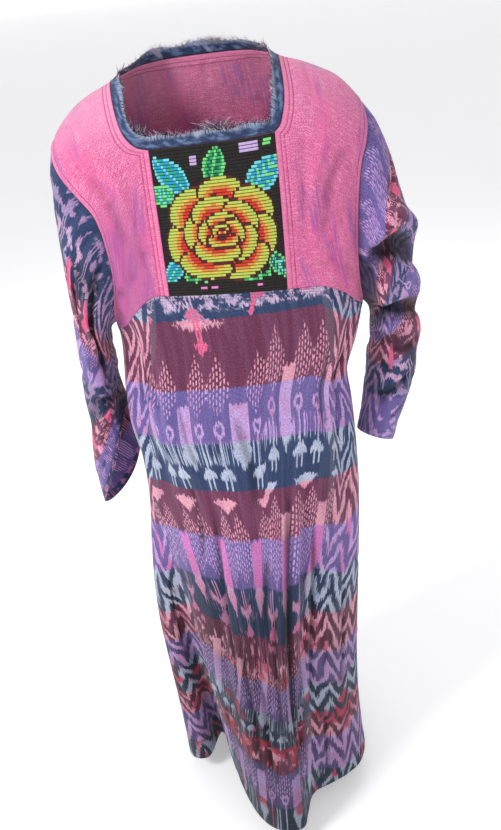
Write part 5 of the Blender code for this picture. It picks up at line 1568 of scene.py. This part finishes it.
def dashes(ikat, centre):
    """A lozenge of small dashes, the points on its axis at a share of the column step."""
    across = ikat.offset(centre)
    high = ikat.by_period([0.5, 0.5, 0.42, 0.55, 0.9])
    low = ikat.by_period([1.5, 1.5, 1.95, 1.95, 1.95])
    grown = ((ikat.phase - high) * 0.034).least(0.0155)
    grown = grown.least((low - ikat.phase) * 0.045)
    step = (across / 0.0046).math("ROUND")
    line = 1.0 - (across - step * 0.0046).size().ease(0.0008, 0.0014)
    beat = (ikat.down / 0.0125 + step * 0.5 + ikat.blur * 0.7 + ikat.slip * 1.3).math("FRACT")
    dash = ikat.within(beat, 0.12, 0.74, 0.06)
    return line * dash * (grown - across.size()).ease(-0.0012, 0.0012)


def rings(ikat, centre):
    """Small rings on stems, low in the purple band of the second period."""
    across = ikat.offset(centre).size()
    up = (ikat.phase - 1.74) / 0.135
    size = ((across / 0.0072).math("POWER", 2.0) + up.math("POWER", 2.0)).math("SQRT") + ikat.blur * 0.25
    ring = ikat.within(size, 0.55, 1.05, 0.12)
    stem = (1.0 - across.ease(0.0008, 0.0016)) * ikat.within(ikat.phase, 1.86, 2.55, 0.03)
    return (ring + stem).least(1.0) * ikat.by_period([0.0, 1.0, 0.0, 0.0, 1.0])


def caps(ikat, centre):
    """Caps with two legs that hang in every second navy band."""
    across = ikat.offset(centre).size()
    wide = (ikat.phase - 2.5).least(0.16) * 0.05 + 0.0036
    cap = (wide - across + ikat.blur * 0.004).ease(-0.0008, 0.0008) * ikat.within(ikat.phase, 2.5, 2.74, 0.03)
    legs = (1.0 - (across - 0.0042).size().ease(0.001, 0.0018)) * ikat.within(ikat.phase, 2.7, 3.0, 0.03)
    return (cap + legs).least(1.0) * ikat.odd


def stars(ikat):
    """Stems with arms and a broad foot, in the other navy bands."""
    across = ikat.offset(0.46).size()
    stems = (1.0 - (across - 0.0028).size().ease(0.0008, 0.0014)) * ikat.within(ikat.phase, 2.02, 2.85, 0.04)
    arms = (ikat.phase - 2.56 + across * 10.0).size().ease(0.11, 0.06) * across.ease(0.0165, 0.0145)
    arms = arms * ikat.by_period([0.0, 0.0, 1.0, 0.0, 0.0])
    foot = across + (ikat.phase - 2.93).size() * 0.07 + ikat.blur * 0.008
    wide = ikat.across.ease(-0.1, -0.12) * ikat.band.ease(3.6, 3.4) * 0.014
    foot = 1.0 - (foot - wide).ease(0.013, 0.0155)
    return (stems + arms).least(1.0) * (1.0 - ikat.odd), foot * (1.0 - ikat.odd)


def first_star(ikat):
    """The broad cloud at the top of the first maroon band, with a red stem and knot under it."""
    across = ikat.offset(0.46).size()
    place = ikat.within(ikat.across, -0.08, -0.004, 0.001)
    wing = across * 0.34 + (ikat.number - 3.05).size() * 0.11 + ikat.blur * 0.012
    knot = across * 0.8 + (ikat.number - 3.38).size() * 0.08 + ikat.blur * 0.009
    stem = (1.0 - (across - 0.0024).size().ease(0.001, 0.0018)) * ikat.within(ikat.number, 3.0, 3.4, 0.04)
    return (1.0 - wing.ease(0.0105, 0.0135)) * place, (1.0 - knot.ease(0.0075, 0.01)).most(stem) * place


def clouds(ikat):
    """Winged clouds high in every second maroon band."""
    across = ikat.offset(0.46).size()
    cloud = across + (ikat.phase - 0.32 + across * 4.0).size() * 0.14 + ikat.blur * 0.01
    cloud = (1.0 - cloud.ease(0.0215, 0.0245)) * (1.0 - ikat.odd)
    high = ikat.noise(ikat.across * 48.0 + 5.0, ikat.band * 6.0 + ikat.shift * 6.0, 2.0).ease(0.47, 0.6)
    return cloud.most(high * ikat.within(ikat.band + ikat.shift, 2.4, 2.84, 0.04))


def drips(ikat):
    """Fine streaks that run down from the purple band into every second navy band."""
    streak = ikat.noise(ikat.across * 300.0, ikat.down * 9.0, 1.0).ease(0.52, 0.6)
    return streak * ikat.within(ikat.phase, 1.97, 2.42, 0.05) * ikat.odd


def frays(ikat):
    """Broken pale threads in the middle of the cloth, low down, where many figures meet."""
    thread = ikat.noise(ikat.across * 330.0, ikat.down * 26.0 + ikat.slip, 1.0).ease(0.6, 0.66)
    place = ikat.noise(ikat.across * 26.0 + 7.0, ikat.down * 9.0, 1.0).ease(0.46, 0.6)
    broad = ikat.noise(ikat.across * 90.0 + 3.0, ikat.band * 3.1 + ikat.shift * 4.0, 1.0).ease(0.61, 0.65)
    broad = broad * ikat.within(ikat.phase, 0.1, 0.95, 0.05) * ikat.band.ease(8.6, 9.2)
    return (thread * place * ikat.band.ease(7.0, 8.6) * 0.6).most(broad)


def zigzags(ikat):
    """Uneven zigzag lines of the cloth's sides."""
    sway = ikat.noise(ikat.side * 13.0, ikat.band * 0.9, 1.0) - 0.5
    uneven = ikat.noise(ikat.side * 22.0 + 4.0, ikat.band * 1.7, 1.0)
    fold = ((ikat.side + sway * 0.036) / 0.06 + 0.12).math("FRACT")
    wave = (fold - 0.5).size() * 4.0 - 1.0
    tall = (ikat.band.ease(7.2, 6.0) * 0.22 + 0.58) * (uneven * 0.8 + 0.6)
    line = (ikat.band * 1.7 + ikat.shift * 3.2 + wave * tall + sway * 0.7).math("FRACT")
    return line.ease(0.05, 0.13) * (1.0 - (line + (uneven - 0.5) * 0.34).ease(0.47, 0.56))


def blotches(ikat):
    """Large feathered blotches between the figures of a sleeve."""
    spot = ikat.noise(ikat.across * 46.0 + 2.0, ikat.band * 4.6 + ikat.shift * 4.2, 1.0)
    maroon = ikat.within(ikat.phase, 0.04, 0.98, 0.03)
    calm = ikat.within(ikat.phase, 0.98, 1.98, 0.03) * ikat.band.ease(1.7, 2.3)
    return (spot - maroon * 0.02).ease(0.53, 0.61) * (1.0 - calm)


def wedges(ikat):
    """Wedges on a sleeve's purple bands, wide at the foot."""
    wide = (ikat.phase - 0.8) * 0.0155
    wedge = (wide - ikat.offset(0.0).size() + ikat.blur * 0.003).ease(-0.001, 0.001)
    return wedge * ikat.within(ikat.phase, 0.82, 2.05, 0.03) * ikat.within(ikat.band, 3.5, 6.0, 0.2)


# %% Ikat colours and weave
def ikat_cotton(name, sleeve=False):
    """The banded ikat cotton with all its figures."""
    ikat = Ikat(name)
    star, foot = stars(ikat)
    if sleeve:
        hot = ikat.band + ikat.shift * 0.6
        hot = ikat.within(hot, 2.75, 3.6, 0.05).most(ikat.within(hot, 6.1, 6.7, 0.05))
        foot = (1.0 - ikat.offset(0.0).size().ease(0.0075, 0.009)) * hot
        figure = star.most(wedges(ikat)).most(blotches(ikat))
    else:
        bar, cloud = blocks(ikat)
        wing, knot = first_star(ikat)
        foot = foot.most(knot)
        figure = bar.most(cloud).most(star).most(clouds(ikat)).most(wing)
        figure = figure.most(drips(ikat)).most(frays(ikat))
    for centre in (0.29, 0.67):
        for draw in (dashes, rings, caps):
            figure = figure.most(draw(ikat, centre))
    at_side = ikat.side.ease(-0.001, 0.001)
    figure = figure * (1.0 - at_side) + zigzags(ikat) * at_side
    foot = foot * (1.0 - at_side)
    # Dyed grounds, darker down the cloth (partly darker dye, partly painted shade) and worn in streaks
    phase = (ikat.band + ikat.shift * 0.3).math("FLOORED_MODULO", 3.0)
    purple = phase.ease(0.98, 1.02)
    navy = phase.ease(1.98, 2.02)
    low = ikat.band.ease(6.8, 10.5) * (0.4 if sleeve else 1.0)

    def dyed(maroon, violet, blue):
        """One colour for each of the three bands."""
        return ikat.mix(navy, ikat.mix(purple, maroon, violet), blue)

    maroon_dye = ikat.mix(low, srgb(106, 48, 78), srgb(88, 26, 48))
    purple_dye = ikat.mix(low, srgb(104, 90, 152), srgb(78, 60, 112))
    navy_dye = ikat.mix(low, srgb(44, 60, 98), srgb(22, 38, 60))
    ground = dyed(maroon_dye, purple_dye, navy_dye)
    worn = ikat.noise(ikat.across * 60.0, ikat.down * 3.0, 3.0)
    worn_dye = dyed(srgb(142, 92, 126), srgb(138, 120, 178), srgb(76, 92, 128))
    ground = ikat.mix(worn.ease(0.35, 0.75) * 0.46, ground, worn_dye)
    # The paler figures left in them
    pale = ikat.mix(purple, srgb(226, 160, 180), srgb(194, 160, 216))
    pale = ikat.mix(navy, pale, srgb(164, 132, 176) if sleeve else srgb(184, 192, 214))
    pale = ikat.mix(ikat.within(ikat.band + ikat.shift, 2.4, 2.84, 0.04) * 0.7, pale, srgb(214, 172, 206))
    if not sleeve:
        bar_pink = ikat.by_period([0.0, 0.0, 1.0, 0.0, 0.0])
        pale = ikat.mix(bar * bar_pink * purple, pale, srgb(208, 122, 192))
    crimson = ikat.noise(ikat.across * 14.0 + 9.0, ikat.band * 1.1, 1.0).ease(0.5, 0.62)
    crimson = crimson * ikat.band.ease(8.0, 10.5) * (1.0 - purple * (1.0 - navy))
    pale = ikat.mix(crimson, pale, srgb(196, 58, 92))
    pale = ikat.mix(foot, pale, srgb(232, 96, 140))
    red = ikat.noise(ikat.across * 34.0 + 1.0, ikat.band * 2.3, 1.0).ease(0.47, 0.56)
    middle = ikat.side.ease(-0.01, -0.05)
    red = red * ikat.band.ease(11.6, 12.2) * middle * (1.0 - purple) * 0.85
    pale = ikat.mix(red, pale, srgb(206, 54, 84))
    splash = ikat.noise(ikat.across * 30.0 + 6.0, ikat.band * 0.8 + ikat.shift * 2.0, 1.0).ease(0.5, 0.56)
    splash = splash * ikat.within(ikat.number, 12.0, 12.9, 0.1) * middle
    ground = ikat.mix(splash * 0.85, ground, srgb(192, 50, 78))
    peach = ikat.noise(ikat.across * 40.0 + 3.0, ikat.band * 3.0, 1.0).ease(0.44, 0.56)
    pale = ikat.mix(peach * ikat.within(ikat.number, 9.0, 10.0, 0.1) * 0.8, pale, srgb(238, 172, 194))
    late_pink = ikat.within(ikat.number, 8.0, 9.3, 0.2) * (1.0 - ikat.side.ease(-0.02, 0.0)) * 0.75
    pale = ikat.mix(late_pink, pale, srgb(206, 112, 158))
    tint = ikat.noise(ikat.across * 26.0, ikat.down * 18.0, 2.0)
    tint_dye = ikat.mix(navy, srgb(190, 110, 150), srgb(132, 140, 180))
    pale = ikat.mix(tint.ease(0.42, 0.7) * 0.4, pale, tint_dye)
    if not sleeve:
        grey = ikat.within(ikat.side, -0.016, -0.001, 0.002)
        grey_dye = dyed(srgb(112, 84, 104), srgb(120, 108, 148), srgb(84, 92, 118))
        ground = ikat.mix(grey * 0.8, ground, grey_dye)
    colour = ikat.mix(figure.most(foot), ground, pale)
    if sleeve:
        # Painted shadow: the inner side of each sleeve, in its later bands, is painted near-black navy for
        # the deep shade there
        inner = ikat.side.ease(0.0, 0.02) * ikat.band.ease(6.2, 7.0)
        colour = ikat.mix(inner * 0.86, colour, srgb(20, 24, 42))
    # Every thread is a little lighter or darker than the next; painted shade darkens the lower cloth and its
    # creases
    flecks = ikat.noise(ikat.across * 760.0, ikat.down * 640.0, 2.0) * 0.95 + 0.55
    grain = ikat.noise(ikat.across * 400.0, ikat.down * 330.0, 2.0) * 1.3 + 0.35
    streaks = ikat.noise(ikat.across * 900.0, ikat.down * 14.0, 1.0) * 0.3 + 0.85
    # Painted shade: darker low down the cloth, most of all low in its middle
    depth = 1.0 - low * 0.34 - ikat.band.ease(7.4, 9.0) * ikat.side.ease(-0.01, -0.06) * 0.16
    colour = ikat.shaded(colour, flecks * grain * streaks * depth * ikat.painted_crease_shade())
    warp = (ikat.across * (math.tau / 0.0009)).math("SINE")
    weft = (ikat.down * (math.tau / 0.0008)).math("SINE")
    wrinkle = ikat.noise(ikat.across * 55.0, ikat.down * 22.0, 3.0)
    height = warp * 0.12 + weft * 0.18 + flecks + wrinkle * 5.0
    ikat.attach(Base_Color=colour, Normal=ikat.bump(height * 0.25, 0.0016, 0.8))
    return ikat.material


ikat = ikat_cotton("ikat_cotton")
ikat_sleeve = ikat_cotton("ikat_cotton_sleeve", sleeve=True)
print("ikat nodes:", len(ikat.node_tree.nodes))

# %% [markdown]
# ## Handwoven pink
# The yoke is a coarse handwoven cotton. Its yarns differ in thickness and take the dye unevenly, so the
# pink is heathered, with slubs, and a violet cross thread shows through in upright patches. Next to every
# seam the cloth is double and paler, and each row of stitching draws it down into a furrow with painted
# shade. The creases carry painted shade as well, and the top of the yoke a painted light.


# %% The pink of the yoke
def handwoven_pink(name):
    """Coarse pink cotton with slubs, violet patches and drawn-down seams."""
    finish = Finish(name, roughness=0.92, sheen=0.2)
    neck, hole, seam = finish.attribute("dye")
    across, up = finish.cloth()
    room = finish.node("SeparateXYZ", None, {0: finish.node("TexCoord", None, None, "Object")})
    right_low = room.ease(-0.04, -0.13) * room.pick("Z").ease(-0.1, -0.22)
    grain = finish.noise(across * 760.0, up * 640.0, 2.0)
    colour = finish.mix(grain.ease(0.34, 0.66), srgb(196, 56, 118), srgb(250, 150, 196))
    slubs = finish.noise(across * 60.0, up * 520.0, 1.0).ease(0.56, 0.7)
    colour = finish.mix(slubs * 0.45, colour, srgb(252, 186, 214))
    knots = finish.noise(across * 600.0, up * 70.0, 1.0).ease(0.58, 0.72)
    colour = finish.mix(knots * 0.42, colour, srgb(172, 54, 122))
    patch_place = (finish.noise(across * 17.0, up * 5.5, 2.0) + right_low * 0.1).ease(0.5, 0.66)
    streaks = finish.noise(across * 210.0, up * 14.0, 2.0).ease(0.34, 0.62)
    calm = neck.ease(0.014, 0.026)
    colour = finish.mix(patch_place * streaks * calm * 0.66, colour, srgb(150, 84, 166))
    colour = finish.mix(right_low * calm * 0.58, colour, srgb(168, 88, 152))
    worn = finish.noise(across * 12.0, up * 9.0, 3.0).ease(0.45, 0.75)
    colour = finish.mix(worn * 0.36, colour, srgb(238, 88, 156))
    # Painted light: the top of the yoke is paler, most of all over the right shoulder, where light falls from
    # above
    painted_top_light = room.pick("Z").ease(-0.09, 0.0) * (room.ease(0.02, -0.1) * 0.2 + 0.14)
    colour = finish.mix(painted_top_light, colour, srgb(255, 190, 220))
    near = neck.least(hole)
    colour = finish.mix((1.0 - near.ease(0.006, 0.018)) * 0.28, colour, srgb(252, 150, 192))
    # Painted shade in the furrows of the stitched rows, with a darker line along each seam
    rows = finish.within(neck, 0.0077, 0.0093, 0.0008) + finish.within(neck, 0.0142, 0.0158, 0.0008)
    rows = rows + finish.within(hole, 0.0082, 0.0098, 0.0008)
    fold = 1.0 - neck.least(hole).least(seam).ease(0.0, 0.0016)
    colour = finish.mix((rows * 0.62 + fold * 0.5).least(0.8), colour, srgb(168, 40, 102))
    warp = (across * (math.tau / 0.0017)).math("SINE")
    weft = (up * (math.tau / 0.0015)).math("SINE")
    pucker = finish.noise(across * 130.0, up * 130.0, 2.0)
    height = warp * 0.1 + weft * 0.16 + grain * 0.8 + pucker * 1.4 + slubs * 0.25
    # Painted shade in the creases, with a little painted highlight on the ridges
    colour = finish.shaded(colour, finish.painted_crease_shade())
    return finish.attach(Base_Color=colour, Normal=finish.bump(height * 0.4, 0.0016, 0.8))


pink = handwoven_pink("handwoven_pink")

# %% [markdown]
# ## Brocade yarns
# The colours of the bib are already on its stitches. The finish adds what yarn does: three plies to each
# row and stitches that are a little lighter or duller than their neighbours. It also paints shade into
# the valley between the rows.


# %% The brocade
def floral_brocade(name):
    """Level bundles of yarn in the colours of the stitches."""
    finish = Finish(name, roughness=0.7, sheen=0.1)
    yarn = finish.node("Attribute", {"attribute_name": "yarn"}, None, "Vector")
    stitch, rib = finish.cloth()
    row = rib.math("FLOOR")
    part = rib - row
    plies = finish.noise(stitch * 0.55, rib * 9.0, 2.0)
    single = finish.noise(stitch * 0.45, row * 7.7, 1.0)
    # Painted shade: the valley between the rows of yarn is darkened
    valley = finish.within(part, 0.15, 0.89, 0.08)
    shade = (0.66 + plies * 0.42 + single * 0.4) * (0.14 + valley * 0.86)
    colour = finish.shaded(yarn, shade)
    colour = finish.mix(finish.noise(stitch * 1.7, rib * 5.0, 1.0).ease(0.6, 0.72) * valley * 0.1, colour,
                        srgb(225, 215, 190))
    twist = ((stitch * 2.2 + part * 2.0).math("FRACT") - 0.5).size()
    return finish.attach(Base_Color=colour, Normal=finish.bump(plies * 0.6 + twist * 0.4, 0.0009, 0.6))


brocade = floral_brocade("floral_brocade")

# %% [markdown]
# ## Worn denim blue and loose threads
# The strip round the neck is a faded indigo twill, paler along its raw edge where it has been rubbed. The
# loose threads vary along their length.


# %% The strip and the threads
def indigo_strip(name):
    """Faded indigo twill with a rubbed raw edge."""
    finish = Finish(name, roughness=0.9, sheen=0.15)
    along, up = finish.cloth()
    worn = finish.noise(along * 55.0, up * 110.0, 3.0).ease(0.42, 0.7)
    colour = finish.mix(worn, srgb(50, 66, 104), srgb(112, 134, 176))
    rub = (up.ease(0.0105, 0.0165) * finish.noise(along * 420.0, up * 60.0, 1.0).ease(0.35, 0.6))
    colour = finish.mix(rub * 0.75, colour, srgb(186, 192, 210))
    patches = finish.noise(along * 24.0, up * 20.0, 1.0).ease(0.66, 0.74)
    colour = finish.mix(patches * 0.7, colour, srgb(196, 190, 214))
    colour = finish.mix((1.0 - up.ease(0.0008, 0.0034)) * 0.6, colour, srgb(30, 36, 62))
    twill = ((along + up) * (math.tau / 0.0016)).math("SINE")
    fuzz = finish.noise(along * 900.0, up * 900.0, 2.0)
    colour = finish.shaded(colour, 0.8 + fuzz * 0.36 + twill * 0.05)
    return finish.attach(Base_Color=colour, Normal=finish.bump(fuzz * 0.7 + twill * 0.3, 0.0008, 0.7))


def thread_finish(name, first, second):
    """A twisted thread that varies along its length."""
    finish = Finish(name, roughness=0.85, sheen=0.2)
    spot = finish.node("TexCoord", None, None, "Object")
    blotch = finish.node("TexNoise", None, {"Vector": spot, "Scale": 180.0, "Detail": 1.0})
    twist = finish.node("TexNoise", None, {"Vector": spot, "Scale": 2600.0, "Detail": 0.0})
    colour = finish.mix(blotch.ease(0.38, 0.62), srgb(*first), srgb(*second))
    return finish.attach(Base_Color=finish.shaded(colour, 0.82 + twist * 0.36))


denim = indigo_strip("indigo_strip")
THREAD_DYES = {
    "navy": ((26, 34, 66), (62, 78, 128)), "white": ((205, 205, 215), (238, 236, 240)),
    "maroon": ((92, 24, 52), (150, 52, 96)), "black": ((16, 15, 20), (44, 40, 54)),
    "pink": ((218, 96, 150), (244, 160, 196)),
}
fringe_finishes = {colour: thread_finish("thread_" + colour, *dyes) for colour, dyes in THREAD_DYES.items()}
STITCH_DYES = {"pink": ((196, 52, 112), (238, 118, 168)), "navy": ((22, 28, 56), (70, 78, 124))}
stitch_finishes = {colour: thread_finish("stitch_" + colour, *dyes) for colour, dyes in STITCH_DYES.items()}

# %% [markdown]
# ## Camera, floor and light
# The camera's place, tilt and lens were worked out from the photograph together with the dress.

# %% The camera
CAMERA_AT = (0.0283, -1.38, 0.164)
CAMERA_PITCH = math.radians(28.0)
CAMERA_ROLL = math.radians(-6.2)
FOCAL_PIXELS = 850.0
PHOTO_HEIGHT = 830.0
SENSOR = 36.0
forward = Vector((0.0, math.cos(CAMERA_PITCH), -math.sin(CAMERA_PITCH)))
level = Vector((1.0, 0.0, 0.0))
raised = level.cross(forward)
right = level * math.cos(CAMERA_ROLL) + raised * math.sin(CAMERA_ROLL)
up = raised * math.cos(CAMERA_ROLL) - level * math.sin(CAMERA_ROLL)
lens = bpy.data.cameras.new("camera")
lens.sensor_width = SENSOR
lens.lens = FOCAL_PIXELS / PHOTO_HEIGHT * SENSOR
camera = add_object("camera", lens)
camera.matrix_world = Matrix.Translation(CAMERA_AT) @ Matrix((right, up, -forward)).transposed().to_4x4()
bpy.context.scene.camera = camera

# %% Floor and lights
FLOOR_Z = -1.42
bm = bmesh.new()
bmesh.ops.create_grid(bm, x_segments=2, y_segments=2, size=60.0)
bmesh.ops.translate(bm, verts=bm.verts, vec=(0.0, 0.0, FLOOR_Z))
bmesh.ops.create_grid(bm, x_segments=2, y_segments=2, size=60.0,
                      matrix=Matrix.Translation((0.0, 58.0, 0.0)) @ Matrix.Rotation(math.pi / 2, 4, "X"))
floor_mesh = bpy.data.meshes.new("floor")
bm.to_mesh(floor_mesh)
bm.free()
floor = add_object("floor", floor_mesh)
floor_finish = Finish("pale_floor", roughness=0.9)
floor_spot = floor_finish.node("TexCoord", None, None, "Object")
floor_noise = floor_finish.node("TexNoise", None, {"Vector": floor_spot, "Scale": 3.0, "Detail": 2.0})
floor.data.materials.append(floor_finish.attach(
    Base_Color=floor_finish.mix(floor_noise, srgb(248, 248, 248), srgb(252, 252, 252))))
floor_finish.shader.inputs["Emission Color"].default_value = (1.0, 1.0, 1.0, 1.0)
floor_finish.shader.inputs["Emission Strength"].default_value = 0.28


def area_light(name, place, target, size, power):
    """A soft square light that looks at a point."""
    light = bpy.data.lights.new(name, "AREA")
    light.shape = "SQUARE"
    light.size = size
    light.energy = power
    item = add_object(name, light)
    place = Vector(place)
    item.matrix_world = (Matrix.Translation(place)
                         @ (Vector(target) - place).to_track_quat("-Z", "Y").to_matrix().to_4x4())


area_light("key_light", (-2.3, -1.5, 1.9), (0.0, 0.0, -0.5), 0.9, 78.0)
area_light("fill_light", (2.4, -1.6, 0.8), (0.0, 0.0, -0.6), 2.0, 12.0)
area_light("back_light", (0.4, 2.6, 1.6), (0.0, 0.0, -0.5), 2.2, 22.0)
world = bpy.data.worlds.new("studio")
world.use_nodes = True
world.node_tree.nodes["Background"].inputs["Color"].default_value = (0.97, 0.97, 1.0, 1.0)
world.node_tree.nodes["Background"].inputs["Strength"].default_value = 0.56
bpy.context.scene.world = world
bpy.context.scene.view_settings.view_transform = "Standard"

# %% [markdown]
# ## Dress the frame
# Every piece rides on the one body, stands for the solid that it was made over, and says what cloth it is.

# %% Pieces, finishes and cuts
PIECES = [
    (skirt_front, "skirt_front", "ikat_cotton", ikat),
    (skirt_back, "skirt_back", "ikat_cotton", ikat),
    (sleeve_right, "sleeve_right", "ikat_cotton", ikat_sleeve),
    (sleeve_left, "sleeve_left", "ikat_cotton", ikat_sleeve),
    (yoke_right, "yoke_front_right", "handwoven_pink", pink),
    (yoke_left, "yoke_front_left", "handwoven_pink", pink),
    (yoke_back, "yoke_back", "handwoven_pink", pink),
    (bib, "bib_panel", "floral_brocade", brocade),
    (neck_strip, "neck_band", "indigo_strip", denim),
]
for item, node, slot, finish in PIECES:
    item.data.materials.append(finish)
    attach(item, "root")
    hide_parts(node)
for colour, item in fringes.items():
    item.data.materials.append(fringe_finishes[colour])
    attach(item, "root")
    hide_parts("neck_fringe")
for colour, item in stitches.items():
    item.data.materials.append(stitch_finishes[colour])
    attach(item, "root")


# %% Flat cuts of the cloth
# Each sheet's flat cut: width and length in metres, area in square metres where it isn't a rectangle, how
# it is held
CUTS = [
    (skirt_front, skirt_front_form, (0.84, 1.1), 0.68, "hung"),
    (skirt_back, skirt_back_form, (0.84, 1.09), 0.65, "hung"),
    (sleeve_right, sleeve_right_form, (0.72, 0.68), 0.18, "hung"),
    (sleeve_left, sleeve_left_form, (0.75, 0.64), 0.19, "hung"),
    (yoke_right, yoke_right_form, (0.2, 0.4), 0.043, "draped"),
    (yoke_left, yoke_left_form, (0.22, 0.39), 0.052, "draped"),
    (yoke_back, yoke_back_form, (0.62, 0.39), 0.176, "draped"),
    (bib, bib_form, (0.184, 0.226), None, "draped"),
    (neck_strip, [band_points], (0.84, 0.0185), None, "draped"),
]
for item, form, flat, area, held in CUTS:
    wide, tall = running(form[0], axis=1).max(), running(form[0]).max()
    bm = bmesh.new()
    bm.from_mesh(item.data)
    print(item.name, "wide", round(float(wide), 3), "long", round(float(tall), 3), "area",
          round(sum(face.calc_area() for face in bm.faces), 4), "cut", flat, area)
    bm.free()

# %% Update the view layer, and the end
bpy.context.view_layer.update()
